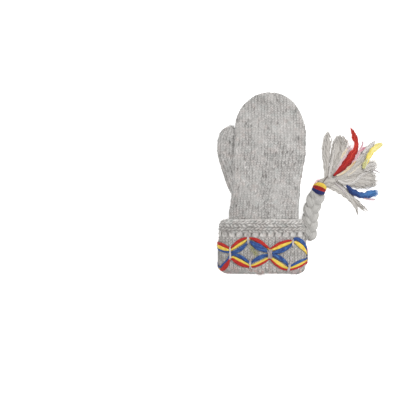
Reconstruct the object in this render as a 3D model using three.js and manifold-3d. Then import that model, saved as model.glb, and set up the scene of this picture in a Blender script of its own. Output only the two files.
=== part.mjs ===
// A thick felted wool mitten lying palm down: a hollow hand and thumb, a turned-up cuff laid round
// with three colours of embroidery yarn, and a short plait that ends in a bound tassel.
// Millimetres, +Z up. The origin is on the flat underside of the palm, +Y runs to the fingertips
// and the thumb is on the -X side.
import * as THREE from "three";
import { ParametricGeometry } from "three/addons/geometries/ParametricGeometry.js";
import { mergeVertices } from "three/addons/utils/BufferGeometryUtils.js";
import Module from "manifold-3d";

const HAND_WALL = 4; // felted knit of the hand and thumb
const CUFF_WALL = 5.5; // the looser knit of the turned-up cuff
const GAP = 0.3; // between pieces that touch

const HAND_END = -118; // where the hand's tube meets the fold of the cuff
const DOME_START = 69.6; // where the fingertips begin to round off
const DOME_LENGTH = 61;
const DOME_CLOSE = 1.55; // angle of the last cross-section, just short of the tip
const DOME_TIP_Z = 8.5; // height of the gathered tip
const SQUARENESS = 2.3; // of a cross-section: 2 is an ellipse, more is boxier
const UNDERSIDE_BULGE = 1.3; // how far the underside would sag if the table didn't press it flat
const TUCK_WIDTH = 30; // how far in from the edge the thumb lifts the hand

// The hand lies higher inside the cuff, and its thumb-side edge is tucked up over the thumb.
const HAND_SECTIONS = [
  { y: -118, left: -61.3, right: 47.8, under: 6.8, top: 27.8, tuck: 0 },
  { y: -80, left: -60, right: 47.8, under: 6.8, top: 28, tuck: 0 },
  { y: -50, left: -55.4, right: 45.3, under: 6.2, top: 28, tuck: 0 },
  { y: -22, left: -51.9, right: 47, under: 1.5, top: 27.5, tuck: 1 },
  { y: -8, left: -50.4, right: 48.4, under: 0, top: 27, tuck: 4 },
  { y: 12, left: -50, right: 51, under: 0, top: 26.5, tuck: 8 },
  { y: 32, left: -49.3, right: 53.8, under: 0, top: 26, tuck: 9.5 },
  { y: 52, left: -48.2, right: 55.8, under: 0, top: 25.5, tuck: 9.5 },
  { y: 69.6, left: -47.4, right: 56.3, under: 0, top: 24.5, tuck: 7 },
];

// The thumb's centre line in plan, from inside the palm to the blunt tip.
const THUMB_SECTIONS = [
  { x: -33, y: -24, halfWidth: 11.5, halfHeight: 7.4 },
  { x: -42.5, y: -5, halfWidth: 13, halfHeight: 7.5 },
  { x: -49.5, y: 17, halfWidth: 13.8, halfHeight: 7.5 },
  { x: -54.5, y: 38, halfWidth: 14.4, halfHeight: 7.6 },
  { x: -56.4, y: 58, halfWidth: 15.6, halfHeight: 7.6 },
  { x: -51, y: 81, halfWidth: 15.6, halfHeight: 7.4 },
];
const THUMB_TIP_FROM = 0.6; // share of the centre line where the tip begins to round off
const THUMB_TIP_BLUNTNESS = 2.8;
const THUMB_TIP_CROWDING = 1.7; // how much closer together the cross-sections lie at the tip

// The outside of the turned-up cuff. The border at its upper edge is thicker than the band below.
const CUFF_SECTIONS = [
  { y: -131.2, left: -62.6, right: 49.6, under: 0, top: 34.2 },
  { y: -124, left: -67.6, right: 54, under: 0, top: 35 },
  { y: -114, left: -69.5, right: 55.7, under: 0, top: 35.3 },
  { y: -98, left: -69.4, right: 55.6, under: 0, top: 35.4 },
  { y: -73, left: -69, right: 53.4, under: 0, top: 35 },
  { y: -63, left: -69, right: 53.2, under: 0, top: 36.8 },
  { y: -53, left: -64.4, right: 51, under: 0, top: 34.2 },
];
const CUFF_FOLD = -131.2; // the lowest edge, where the knit turns back on itself
const CUFF_TOP = -53.6; // the free upper edge
const FOLD_GAP = 1; // between the two layers at the fold
const FOLD_DEPTH = 7.2; // from the lowest edge up to the slit between the layers
const YARN_BED = 3.2; // how deep the underside is pressed in round the embroidery
const YARN_BED_FROM = -129;
const YARN_BED_TO = -74;
const YARN_BED_EDGE = 3;

// Where the yarn is stitched down, evenly spaced round the cuff from a point on the underside.
// The two trios of yarn meet at every other row and stand apart at the rows between, where a
// trio's stitches can lie a little further round than even.
const STITCH_ROWS = [
  { upper: -104.5, lower: -104.5, upperShift: 0, lowerShift: 0 },
  { upper: -86, lower: -120, upperShift: 0, lowerShift: 0 },
  { upper: -104, lower: -104, upperShift: 0, lowerShift: 0 },
  { upper: -90, lower: -123, upperShift: 0, lowerShift: 7 },
  { upper: -102.1, lower: -102.1, upperShift: 0, lowerShift: 0 },
  { upper: -82.8, lower: -119.5, upperShift: -2.5, lowerShift: 0 },
  { upper: -103, lower: -103, upperShift: 0, lowerShift: 0 },
  { upper: -86.5, lower: -123.4, upperShift: 6, lowerShift: 0 },
  { upper: -108.5, lower: -108.5, upperShift: 0, lowerShift: 0 },
  { upper: -86, lower: -120, upperShift: 0, lowerShift: 0 },
];
const STITCHES_FROM = 0.68; // share of the way round, from the thumb side over the back of the hand
const YARN_LIFT = 0.5; // clear of the knit
const YARN_GAP = 0.6; // between the yarns of a trio
const YARN_HALF_THICKNESS = 1.25;
const YARN_HALF_WIDTH_AT_STITCH = 1;
const YARN_HALF_WIDTH_BETWEEN = 2.1;
const YARN_SWELL = 1.5; // how late a yarn swells between its stitches: above 1 is later
const YARN_COLOURS = [
  { colour: "red", lane: 1 },
  { colour: "yellow", lane: 0 },
  { colour: "blue", lane: -1 },
];

// The plait's centre line, from the side seam of the cuff to the binding.
const PLAIT_LINE = [
  { x: 60.2, y: -85, z: 12.5 },
  { x: 61.6, y: -70, z: 11.5 },
  { x: 63.2, y: -52, z: 10 },
  { x: 67.8, y: -33, z: 8.4 },
  { x: 76, y: -12, z: 8 },
];
const PLAIT_STRANDS = 3;
const PLAIT_SWAY = 6.5; // sideways swing of a strand from the centre line
const PLAIT_WEAVE = 3.9; // up and down swing
const PLAIT_TURNS = 1.8; // full swings of a strand over the plait's length
const PLAIT_GATHER = 0.12; // share of the length over which the strands close up at an end
const PLAIT_END_SWING = 0.5; // share of the swing that is left there
const STRAND_TAPER = 0.08; // share of the length over which a strand's end rounds off
const STRAND_HALF_WIDTH = 5;
const STRAND_HALF_HEIGHT = 3.6;

// The binding: three flat bands of yarn wound round the plait's end.
const BINDING = { x: 76.6, y: -9.7, z: 8, tilt: 21.7, halfWidth: 10, flatness: 0.78, yarn: 1.5 };
const BAND_STRETCH = 1.35; // how many times as wide as thick a band is
const BINDING_COLOURS = ["blue", "red", "yellow"];
const BINDING_PITCH = 2 * BINDING.yarn * BAND_STRETCH + GAP;

// The tassel's locks from root to tip. The centre line's height runs evenly from rootZ to tipZ, and
// halfWidths lie at even shares of its length.
const TASSEL_NECK = {
  points: [[77.1, -9], [78.6, -5.2], [80.6, -2], [86, -0.6], [96, 1], [106, 4]],
  rootZ: 8, tipZ: 7, halfHeight: 4.7, halfWidths: [4, 6.4, 7.4, 9, 10, 9.4, 6],
};
const GREY_LOCKS = [
  {
    points: [[87.5, 4], [87.2, 30], [86.6, 48], [89.8, 73]],
    rootZ: 7, tipZ: 4.4, halfHeight: 4.2, halfWidths: [2.4, 3.2, 4.3, 5.4, 6.4, 6.2, 1],
  },
  {
    points: [[92.5, 6], [98.5, 25], [104.4, 42], [107.2, 55], [106, 69.5]],
    rootZ: 7, tipZ: 4.8, halfHeight: 4.6, halfWidths: [2.6, 4.2, 7.2, 10.4, 12.3, 12, 3.4],
  },
  {
    points: [[98, 6], [118, 18], [136, 31.5], [148, 46], [158.5, 59.5]],
    rootZ: 7, tipZ: 4.2, halfHeight: 4.4, halfWidths: [3, 5.5, 8, 9.2, 8.6, 6, 1.6],
  },
  {
    points: [[100, 5], [122, 14], [142, 20.5], [164, 27]],
    rootZ: 7, tipZ: 4.2, halfHeight: 4.2, halfWidths: [3, 5, 7, 8.2, 8.8, 8.6, 5],
  },
  {
    points: [[100, 2], [120, 1.5], [140, 3.4], [163.5, 3.4]],
    rootZ: 7, tipZ: 4.2, halfHeight: 4.4, halfWidths: [4, 6, 8.5, 12, 14, 13.4, 9],
  },
  {
    points: [[94, -4], [110, -12.5], [122, -23.5], [130, -35.5], [134.4, -49]],
    rootZ: 7, tipZ: 3.6, halfHeight: 4, halfWidths: [6, 6.4, 5.6, 4, 2.8, 2, 1.2],
  },
  {
    points: [[98, -3], [116, -15], [131, -29], [149.5, -44.5]],
    rootZ: 6.6, tipZ: 3.4, halfHeight: 3.8, halfWidths: [5, 5.4, 4.6, 3.6, 3.2, 3.4, 2],
  },
];
const COLOURED_LOCKS = [
  {
    name: "tassel_lock_red",
    colour: "red",
    points: [
      [97, 9.3], [108, 19], [118.5, 31], [125.5, 41.5],
      [130.3, 49.5], [130.5, 58], [127.5, 67.5], [122.3, 81.5],
    ],
    rootZ: 11.8, tipZ: 7, halfHeight: 3.2,
    halfWidths: [0.9, 2.8, 4.6, 5.4, 5.6, 4.2, 2.2, 3.9, 2.6, 0.7],
  },
  {
    name: "tassel_lock_yellow",
    colour: "yellow",
    points: [[141.5, 22], [146.5, 32], [151.8, 43], [159.5, 50.6], [170.8, 57]],
    rootZ: 10, tipZ: 6, halfHeight: 2.8, halfWidths: [1.6, 2.6, 3, 3.4, 3.6, 3.6, 2.6],
  },
  {
    name: "tassel_lock_blue",
    colour: "blue",
    points: [[115.8, -4.2], [122.5, -11.8], [130, -16.5], [141, -19.5], [151, -17], [164.5, -15.6]],
    rootZ: 10.4, tipZ: 5, halfHeight: 3, halfWidths: [0.8, 2.8, 4, 3.6, 3.4, 4.6, 4.8, 3.2],
  },
];

const MATERIALS = {
  wool: new THREE.MeshStandardMaterial({ color: 0xb4b1ad, roughness: 0.95, metalness: 0 }),
  cuff: new THREE.MeshStandardMaterial({ color: 0xb0ada9, roughness: 0.95, metalness: 0 }),
  plait: new THREE.MeshStandardMaterial({ color: 0xbab6b0, roughness: 0.95, metalness: 0 }),
  red: new THREE.MeshStandardMaterial({ color: 0xb32a24, roughness: 0.9, metalness: 0 }),
  yellow: new THREE.MeshStandardMaterial({ color: 0xdcb848, roughness: 0.9, metalness: 0 }),
  blue: new THREE.MeshStandardMaterial({ color: 0x2f4686, roughness: 0.9, metalness: 0 }),
};

const TURN = 2 * Math.PI;
const UP = new THREE.Vector3(0, 0, 1);
const wasm = await Module();
wasm.setup();

// Merges the shared vertices of a surface and drops the triangles that collapse at its poles.
function weld(geometry) {
  geometry.deleteAttribute("normal");
  geometry.deleteAttribute("uv");
  const welded = mergeVertices(geometry);
  const corners = welded.index.array;
  const kept = [];
  for (let i = 0; i < corners.length; i += 3) {
    const [a, b, c] = corners.subarray(i, i + 3);
    if (a !== b && b !== c && c !== a) kept.push(a, b, c);
  }
  return welded.setIndex(kept);
}

// A closed surface: place(u, v, target) gives its points, with u round it and v along it.
function solidOf(place, slices, stacks) {
  const surface = weld(new ParametricGeometry(place, slices, stacks));
  return new wasm.Manifold(
    new wasm.Mesh({
      numProp: 3,
      vertProperties: surface.attributes.position.array,
      triVerts: Uint32Array.from(surface.index.array),
    }),
  );
}

// A body through a stack of cross-sections, closed at both ends. pointOf gives a row's outline,
// with the angle running from +X towards +Z.
function stackSolid(rows, pointOf, slices) {
  const stacks = rows.length + 1;
  return solidOf(
    (u, v, target) => {
      const level = Math.round(v * stacks);
      const row = rows[THREE.MathUtils.clamp(level - 1, 0, rows.length - 1)];
      if (level === 0 || level === stacks) {
        target.copy(pointOf(row, 0)).lerp(pointOf(row, Math.PI), 0.5);
      } else {
        target.copy(pointOf(row, -TURN * (u % 1)));
      }
    },
    slices,
    stacks,
  );
}

function meshOf(name, solid, material) {
  const { vertProperties, triVerts } = solid.getMesh();
  const geometry = new THREE.BufferGeometry()
    .setAttribute("position", new THREE.BufferAttribute(vertProperties, 3))
    .setIndex(new THREE.BufferAttribute(triVerts, 1));
  geometry.computeVertexNormals();
  const mesh = new THREE.Mesh(geometry, material);
  mesh.name = name;
  return mesh;
}

// Turns a table into a function of its first column that blends the other columns smoothly.
function smoothTable(rows) {
  const [key, ...columns] = Object.keys(rows[0]);
  const curve = new THREE.CubicInterpolant(
    Float64Array.from(rows, (row) => row[key]),
    Float64Array.from(rows.flatMap((row) => columns.map((column) => row[column]))),
    columns.length,
  );
  return (at) => {
    const values = curve.evaluate(at);
    return Object.fromEntries(columns.map((column, i) => [column, values[i]]));
  };
}

const signedPower = (value, power) => Math.sign(value) * Math.abs(value) ** power;

// A point of a cross-section: a superellipse whose underside is pressed flat on the table, and
// whose thumb-side edge can be tucked up.
function sectionPoint({ y, left, right, under, top, tuck = 0 }, angle, grow = 0) {
  const across = signedPower(Math.cos(angle), 2 / SQUARENESS);
  const up = signedPower(Math.sin(angle), 2 / SQUARENESS);
  const x = (left + right) / 2 + ((right - left) / 2 + grow) * across;
  const sag = up < 0 ? UNDERSIDE_BULGE : 1;
  const z = (top + under) / 2 + ((top - under) / 2 + grow) * up * sag;
  const inward = Math.min(1, (x - left) / TUCK_WIDTH);
  return new THREE.Vector3(x, y, Math.max(z, under - grow) + tuck * (1 - inward) ** 2);
}

const handTable = smoothTable(HAND_SECTIONS);

// The hand's cross-section on its straight part.
function tubeRow(y) {
  const row = handTable(y);
  return { ...row, y, under: Math.max(0, row.under) };
}

// The hand's cross-section on the rounded end, at an angle from its start to its tip. Growing it
// is done here, so that the tip moves too.
function domeRow(angle, grow) {
  const narrow = Math.cos(angle);
  const { left, right, top, tuck } = tubeRow(DOME_START);
  const centre = (left + right) / 2;
  const half = ((right - left) / 2 + grow) * narrow;
  return {
    y: DOME_START + (DOME_LENGTH + grow) * Math.sin(angle),
    left: centre - half,
    right: centre + half,
    under: DOME_TIP_Z - (DOME_TIP_Z + grow) * narrow ** 0.5,
    top: DOME_TIP_Z + (top - DOME_TIP_Z + grow) * narrow ** 0.8,
    tuck: tuck * narrow,
    grown: true,
  };
}

// The hand's skin, grown outwards, with its open end carried further down by the overrun.
function handSkin(grow, overrun = 0) {
  const tubeSteps = 10;
  const domeSteps = 6;
  const rows = [];
  for (let i = 0; i <= tubeSteps; i++) {
    rows.push(tubeRow(THREE.MathUtils.lerp(HAND_END, DOME_START, i / tubeSteps)));
  }
  rows[0].y -= overrun;
  for (let i = 1; i <= domeSteps; i++) {
    rows.push(domeRow((i / domeSteps) * DOME_CLOSE, grow));
  }
  return stackSolid(rows, (row, angle) => sectionPoint(row, angle, row.grown ? 0 : grow), 24);
}

const thumbTable = smoothTable(
  THUMB_SECTIONS.map(({ halfWidth, halfHeight }, i, { length }) => ({
    at: i / (length - 1),
    halfWidth,
    halfHeight,
  })),
);

// A soft body swept along a line. frameAt(t) gives its centre and its side and up directions,
// and sizeAt(t) its half width and half height. It never sinks below the floor given.
function sweep(frameAt, sizeAt, slices, stacks, floor = 0) {
  return solidOf(
    (u, v, target) => {
      const level = Math.round(v * stacks);
      const { centre, side, up } = frameAt(v);
      target.copy(centre);
      if (level > 0 && level < stacks) {
        const angle = -TURN * (u % 1);
        const { halfWidth, halfHeight } = sizeAt(v);
        target.addScaledVector(side, halfWidth * Math.cos(angle));
        target.addScaledVector(up, halfHeight * Math.sin(angle));
      }
      target.z = Math.max(target.z, floor);
    },
    slices,
    stacks,
  );
}

// The side and up directions of a section that stands upright on a line's direction.
function uprightFrame(centre, along) {
  const side = new THREE.Vector3().crossVectors(along, UP).normalize();
  return { centre, side, up: new THREE.Vector3().crossVectors(side, along) };
}

const frameOn = (curve, upTo = 1) => (t) =>
  uprightFrame(curve.getPointAt(t * upTo), curve.getTangentAt(t * upTo));

// The thumb's skin, grown outwards: an even tube that rounds off bluntly at its tip, where its
// cross-sections crowd together.
function thumbSkin(grow, slices, stacks) {
  const line = new THREE.CatmullRomCurve3(
    THUMB_SECTIONS.map(({ x, y, halfHeight }) => new THREE.Vector3(x, y, halfHeight)),
  );
  const upTo = 1 + Math.min(0, grow) / line.getLength();
  const crowded = (v) => 1 - (1 - v) ** THUMB_TIP_CROWDING;
  const frameAt = frameOn(line, upTo);
  const sizeAt = (v) => {
    const t = crowded(v);
    const { halfWidth, halfHeight } = thumbTable(t);
    const rounding = Math.max(0, (t - THUMB_TIP_FROM) / (1 - THUMB_TIP_FROM));
    const narrow = Math.sqrt(Math.max(0, 1 - rounding ** THUMB_TIP_BLUNTNESS));
    return {
      halfWidth: (halfWidth + grow) * narrow,
      halfHeight: (halfHeight * UNDERSIDE_BULGE + grow) * narrow ** 0.8,
    };
  };
  return sweep((v) => frameAt(crowded(v)), sizeAt, slices, stacks, Math.max(0, -grow));
}

const cuffTable = smoothTable(CUFF_SECTIONS);

// How high the underside stands off the table, where the embroidery runs beneath it.
function yarnBed(y) {
  const rise = THREE.MathUtils.smoothstep(y, YARN_BED_FROM, YARN_BED_FROM + YARN_BED_EDGE);
  const fall = THREE.MathUtils.smoothstep(y, YARN_BED_TO - YARN_BED_EDGE, YARN_BED_TO);
  return YARN_BED * (rise - fall);
}

// A point on the outside of the cuff, or outside that.
function cuffPoint(y, angle, grow = 0) {
  const point = sectionPoint({ ...cuffTable(y), y }, angle, grow);
  point.z = Math.max(point.z, yarnBed(y) - grow);
  return point;
}

// The cuff's profile as depth in from its outside and place along the mitten: down the outside,
// round the fold, up to the hand's tube, down into the slit, and up the inside to the free edge.
function cuffProfile() {
  const layer = CUFF_WALL + FOLD_GAP;
  const innerFace = layer + HAND_WALL;
  const foldRadius = innerFace / 2;
  const lipRadius = CUFF_WALL / 2;
  const outline = new THREE.Path().moveTo(0, CUFF_TOP - lipRadius);
  [-63, -70, -74, -77, -98, -114, -121].forEach((y) => outline.lineTo(0, y));
  outline.absarc(foldRadius, CUFF_FOLD + foldRadius, foldRadius, Math.PI, TURN);
  outline.lineTo(innerFace, HAND_END - GAP);
  outline.lineTo(layer, HAND_END - GAP);
  outline.absarc(CUFF_WALL + FOLD_GAP / 2, CUFF_FOLD + FOLD_DEPTH, FOLD_GAP / 2, 0, -Math.PI, true);
  outline.lineTo(CUFF_WALL, -96);
  outline.lineTo(CUFF_WALL, -66);
  outline.absarc(lipRadius, CUFF_TOP - lipRadius, lipRadius, 0, Math.PI);
  return outline.getPoints(3).slice(0, -1);
}

function buildCuff() {
  const profile = cuffProfile();
  return solidOf(
    (u, v, target) => {
      const { x: depth, y } = profile[Math.round(v * profile.length) % profile.length];
      const angle = TURN * (u % 1);
      target.copy(
        depth > 0 ? sectionPoint({ ...cuffTable(y), y }, angle, -depth) : cuffPoint(y, angle),
      );
    },
    28,
    profile.length,
  );
}

// The whole space that the cuff takes up, grown outwards, to trim what lies against it.
function cuffSpace(grow) {
  const rows = [CUFF_FOLD, -129, -126, -121, -114, -98, -77, -74, -70, -63, CUFF_TOP + grow];
  return stackSolid(rows, (y, angle) => cuffPoint(y, angle, grow), 28);
}

// Finds the angle at a share of the way round the cuff, measured along the knit from the thumb
// side over the back of the hand.
function walkRound() {
  const steps = 240;
  const rows = [];
  let length = 0;
  let before = null;
  for (let i = 0; i <= steps; i++) {
    const angle = Math.PI - (TURN * i) / steps;
    const point = cuffPoint(STITCH_ROWS[0].upper, angle);
    length += before ? point.distanceTo(before) : 0;
    before = point;
    rows.push({ length, angle });
  }
  const lookup = smoothTable(rows);
  return { around: length, angleAt: (share) => lookup((((share % 1) + 1) % 1) * length).angle };
}

const { around: cuffAround, angleAt } = walkRound();

// A point lifted clear of the cuff's outside, and the outward direction there.
function liftedPoint(share, y, lift) {
  const angle = angleAt(share);
  const centre = cuffPoint(y, angle);
  const across = cuffPoint(y, angle - 0.02).sub(cuffPoint(y, angle + 0.02));
  const up = new THREE.Vector3(-across.z, 0, across.x).normalize();
  return { centre: centre.addScaledVector(up, lift), up };
}

// Where a yarn lies, and how wide it is, at a share of the way round the cuff. The yarns of a trio
// are drawn together at each stitch. Between two stitches the outermost yarn bows out as a quarter
// sine, the innermost stays low and then climbs as steeply, and the middle one runs between them.
function yarnPlace(t, wave, lane) {
  const count = STITCH_ROWS.length;
  const step = Math.min(t * count, count - 1e-6);
  const index = Math.floor(step);
  const part = step - index;
  const leaving = index % 2 === 0;
  const meeting = STITCH_ROWS[(index + (leaving ? 0 : 1)) % count];
  const apart = STITCH_ROWS[(index + (leaving ? 1 : 0)) % count];
  const outward = wave === "upper" ? 1 : -1;
  const spacing = 2 * YARN_HALF_WIDTH_AT_STITCH + YARN_GAP;
  const low = meeting[wave] + outward * 1.5 * spacing;
  const onward = leaving ? part : 1 - part;
  const quarter = (Math.PI / 2) * onward;
  const bow = (lane + 1) / 2;
  const reached = THREE.MathUtils.lerp(1 - Math.cos(quarter), Math.sin(quarter), bow);
  const climb = (THREE.MathUtils.lerp(Math.sin(quarter), Math.cos(quarter), bow) * Math.PI) / 2;
  const fan = Math.sin(Math.PI * part);
  const swell = fan ** YARN_SWELL;
  const rise = (apart[wave] - low) * climb * (leaving ? 1 : -1);
  const slope = Math.atan(rise / (cuffAround / count)) * fan;
  const aside = outward * lane * spacing;
  const shift = apart[`${wave}Shift`] * onward;
  return {
    share: STITCHES_FROM + t + (shift - aside * Math.sin(slope)) / cuffAround,
    y: THREE.MathUtils.lerp(low, apart[wave], reached) + aside * Math.cos(slope),
    halfWidth: THREE.MathUtils.lerp(YARN_HALF_WIDTH_AT_STITCH, YARN_HALF_WIDTH_BETWEEN, swell),
  };
}

// One yarn of a trio, once round the cuff, with its ends a little apart.
function buildYarn(wave, lane, nextToCuff) {
  const endGap = 0.003;
  const lift = YARN_LIFT + YARN_HALF_THICKNESS;
  const placeAt = (t) => yarnPlace(THREE.MathUtils.lerp(endGap, 1 - endGap, t), wave, lane);
  const pointAt = (t) => liftedPoint(placeAt(t).share, placeAt(t).y, lift);
  const frameAt = (t) => {
    const { centre, up } = pointAt(t);
    const along = pointAt(Math.min(1, t + 1e-3)).centre.sub(pointAt(Math.max(0, t - 1e-3)).centre);
    return { centre, side: along.cross(up).normalize(), up };
  };
  const sizeAt = (t) => ({ halfWidth: placeAt(t).halfWidth, halfHeight: YARN_HALF_THICKNESS });
  return sweep(frameAt, sizeAt, 6, 40, 0.1).subtract(nextToCuff);
}

const plaitLine = new THREE.CatmullRomCurve3(
  PLAIT_LINE.map(({ x, y, z }) => new THREE.Vector3(x, y, z)),
);

// One strand of the plait: it swings once from side to side while it goes twice over and under.
function plaitStrand(index, grow) {
  const frameOfLine = frameOn(plaitLine);
  const start = (TURN * index) / PLAIT_STRANDS;
  const centreAt = (t) => {
    const { centre, side, up } = frameOfLine(t);
    const fromEnd = Math.min(1, Math.min(t, 1 - t) / PLAIT_GATHER);
    const open = THREE.MathUtils.lerp(PLAIT_END_SWING, 1, fromEnd);
    const swing = TURN * PLAIT_TURNS * t + start;
    return centre
      .addScaledVector(side, PLAIT_SWAY * open * Math.sin(swing))
      .addScaledVector(up, PLAIT_WEAVE * open * Math.sin(2 * swing));
  };
  const frameAt = (t) => {
    const ahead = centreAt(Math.min(1, t + 1e-3));
    const behind = centreAt(Math.max(0, t - 1e-3));
    return uprightFrame(centreAt(t), ahead.sub(behind).normalize());
  };
  const sizeAt = (t) => {
    const end = Math.sqrt(Math.min(1, Math.min(t, 1 - t) / STRAND_TAPER));
    return {
      halfWidth: STRAND_HALF_WIDTH * end + grow,
      halfHeight: STRAND_HALF_HEIGHT * end + grow,
    };
  };
  return sweep(frameAt, sizeAt, 8, 15);
}

// A lock of tassel yarn, which is flatter the wider it is.
function lockSolid({ points, rootZ, tipZ, halfHeight, halfWidths }, grow = 0) {
  const line = new THREE.CatmullRomCurve3(
    points.map(([x, y], i, { length }) => {
      const z = THREE.MathUtils.lerp(rootZ, tipZ, i / (length - 1));
      return new THREE.Vector3(x, y, z);
    }),
  );
  const last = halfWidths.length - 1;
  const widest = Math.max(...halfWidths);
  const widthAt = smoothTable(halfWidths.map((width, i) => ({ share: i / last, width })));
  const sizeAt = (t) => {
    const { width } = widthAt(t);
    return { halfWidth: width + grow, halfHeight: halfHeight * Math.sqrt(width / widest) + grow };
  };
  return sweep(frameOn(line), sizeAt, 8, last + 1);
}

function buildHandAndThumb() {
  const handInside = handSkin(-HAND_WALL, 2);
  const thumbInside = thumbSkin(-HAND_WALL, 12, 10);
  return {
    hand: handSkin(0).subtract(handInside).subtract(thumbInside),
    thumb: thumbSkin(0, 18, 12).subtract(thumbInside).subtract(handSkin(GAP)),
  };
}

// The space that the three bands take up together, grown outwards, as one ring.
function bindingSpace(grow) {
  const { x, y, z, tilt, halfWidth, flatness, yarn } = BINDING;
  const thickness = yarn + grow;
  const length = 1.5 * BINDING_PITCH + grow;
  const lean = -THREE.MathUtils.degToRad(tilt);
  return solidOf(
    (u, v, target) => {
      const [turn, tube] = [-TURN * (u % 1), TURN * (v % 1)];
      const radius = halfWidth - yarn + thickness * Math.cos(tube);
      target.set(radius * Math.cos(turn), length * Math.sin(tube), radius * flatness * Math.sin(turn));
      target.applyAxisAngle(UP, lean);
      target.x += x;
      target.y += y;
      target.z += z;
    },
    18,
    8,
  );
}

// The strands are cleared of each other in turn, of the cuff with its embroidery, and of the bands.
function buildPlait() {
  const nextToCuff = cuffSpace(YARN_LIFT + 2 * YARN_HALF_THICKNESS + GAP);
  const nextToBands = bindingSpace(0.8);
  const strands = [];
  for (let i = 0; i < PLAIT_STRANDS; i++) {
    const cleared = strands.reduce(
      (strand, _, before) => strand.subtract(plaitStrand(before, GAP)),
      plaitStrand(i, 0),
    );
    strands.push(cleared.subtract(nextToCuff).subtract(nextToBands));
  }
  return strands;
}

function buildBinding() {
  const { x, y, z, tilt, halfWidth, flatness, yarn } = BINDING;
  const binding = new THREE.Group();
  binding.position.set(x, y, z);
  binding.rotation.z = -THREE.MathUtils.degToRad(tilt);
  BINDING_COLOURS.forEach((colour, i) => {
    const ring = new THREE.TorusGeometry(halfWidth - yarn, yarn, 5, 17);
    const band = new THREE.Mesh(ring.scale(1, flatness, BAND_STRETCH), MATERIALS[colour]);
    band.name = `binding_${colour}`;
    band.rotation.x = Math.PI / 2;
    band.position.y = (i - (BINDING_COLOURS.length - 1) / 2) * BINDING_PITCH;
    binding.add(band);
  });
  return binding;
}

function buildTassel() {
  const grey = GREY_LOCKS.reduce((sum, lock) => sum.add(lockSolid(lock)), lockSolid(TASSEL_NECK));
  const clear = COLOURED_LOCKS.reduce((rest, lock) => rest.subtract(lockSolid(lock, GAP)), grey);
  return clear.subtract(bindingSpace(0.8));
}

const mitten = new THREE.Group();
mitten.name = "mitten";

const { hand, thumb } = buildHandAndThumb();
mitten.add(meshOf("hand", hand, MATERIALS.wool), meshOf("thumb", thumb, MATERIALS.wool));
mitten.add(meshOf("cuff", buildCuff(), MATERIALS.cuff));

const nextToCuff = cuffSpace(GAP);
for (const wave of ["upper", "lower"]) {
  for (const { colour, lane } of YARN_COLOURS) {
    const yarn = buildYarn(wave, lane, nextToCuff);
    mitten.add(meshOf(`yarn_${wave}_${colour}`, yarn, MATERIALS[colour]));
  }
}

buildPlait().forEach((strand, i) => {
  mitten.add(meshOf(`plait_strand_${i + 1}`, strand, MATERIALS.plait));
});
mitten.add(buildBinding());

mitten.add(meshOf("tassel", buildTassel(), MATERIALS.plait));
COLOURED_LOCKS.forEach((lock) => {
  mitten.add(meshOf(lock.name, lockSolid(lock), MATERIALS[lock.colour]));
});

export default mitten;
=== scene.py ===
"""A thick felted wool mitten with a turned-up, embroidered cuff and a plaited tassel.

The mitten lies palm down on a pale floor and is seen from straight above. Sizes are in
millimetres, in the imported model's frame: +Z up, +Y to the fingertips, the thumb on the -X side.
Every surface is worked out with numpy as a function of two parameters, or as a section carried
along a line, and turned into metres when its mesh is made.
"""

import logging
import math
from dataclasses import dataclass
from enum import Enum
from typing import NamedTuple, Sequence

import bpy
import numpy as np
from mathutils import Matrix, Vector

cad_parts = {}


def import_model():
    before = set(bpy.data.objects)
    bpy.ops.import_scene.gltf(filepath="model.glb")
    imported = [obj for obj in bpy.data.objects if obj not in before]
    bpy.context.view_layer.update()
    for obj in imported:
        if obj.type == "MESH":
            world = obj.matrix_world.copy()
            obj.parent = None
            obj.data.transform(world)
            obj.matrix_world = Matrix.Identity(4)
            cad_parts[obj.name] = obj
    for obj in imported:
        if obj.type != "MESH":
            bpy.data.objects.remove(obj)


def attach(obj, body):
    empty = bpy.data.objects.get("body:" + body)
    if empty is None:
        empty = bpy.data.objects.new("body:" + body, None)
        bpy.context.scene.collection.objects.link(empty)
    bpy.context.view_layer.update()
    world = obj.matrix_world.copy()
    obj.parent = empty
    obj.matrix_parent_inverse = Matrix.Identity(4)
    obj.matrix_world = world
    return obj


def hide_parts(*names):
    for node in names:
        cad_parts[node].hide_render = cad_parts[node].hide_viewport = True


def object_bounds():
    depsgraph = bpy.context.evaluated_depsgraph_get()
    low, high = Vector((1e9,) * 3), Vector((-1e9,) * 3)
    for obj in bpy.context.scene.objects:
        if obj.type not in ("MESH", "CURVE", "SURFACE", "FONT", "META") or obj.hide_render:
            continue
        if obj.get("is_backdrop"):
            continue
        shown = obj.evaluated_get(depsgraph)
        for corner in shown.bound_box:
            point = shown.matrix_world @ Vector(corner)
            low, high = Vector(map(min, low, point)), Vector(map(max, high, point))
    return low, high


log = logging.getLogger("mitten")

Array = np.ndarray
Colour = tuple[float, float, float]
MM = 0.001
TURN = 2 * math.pi
UP = np.array([0.0, 0.0, 1.0])
ROOT = "root"

HAND_WALL = 4.0
CUFF_WALL = 5.5
HAND_END = -118.0
UNDERSIDE_BULGE = 1.3
SQUARENESS = 2.3
TUCK_WIDTH = 30.0
PLANE_WAVES = 7


class Wave(Enum):
    """The two trios of embroidery yarn, with the way each stands out from where they meet."""

    UPPER = 1
    LOWER = -1


class Tint(Enum):
    """The three embroidery colours, with their place in a trio from the outside in."""

    RED = 1
    YELLOW = 0
    BLUE = -1


class Section(NamedTuple):
    """A cross-section of the hand, and how far its thumb-side edge is tucked up."""

    y: float
    left: float
    right: float
    under: float
    top: float
    tuck: float


class CuffSection(NamedTuple):
    """A cross-section of the outside of the cuff."""

    y: float
    left: float
    right: float
    under: float
    top: float


class ThumbSection(NamedTuple):
    """A place on the thumb's centre line with its half sizes."""

    x: float
    y: float
    half_width: float
    half_height: float


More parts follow.
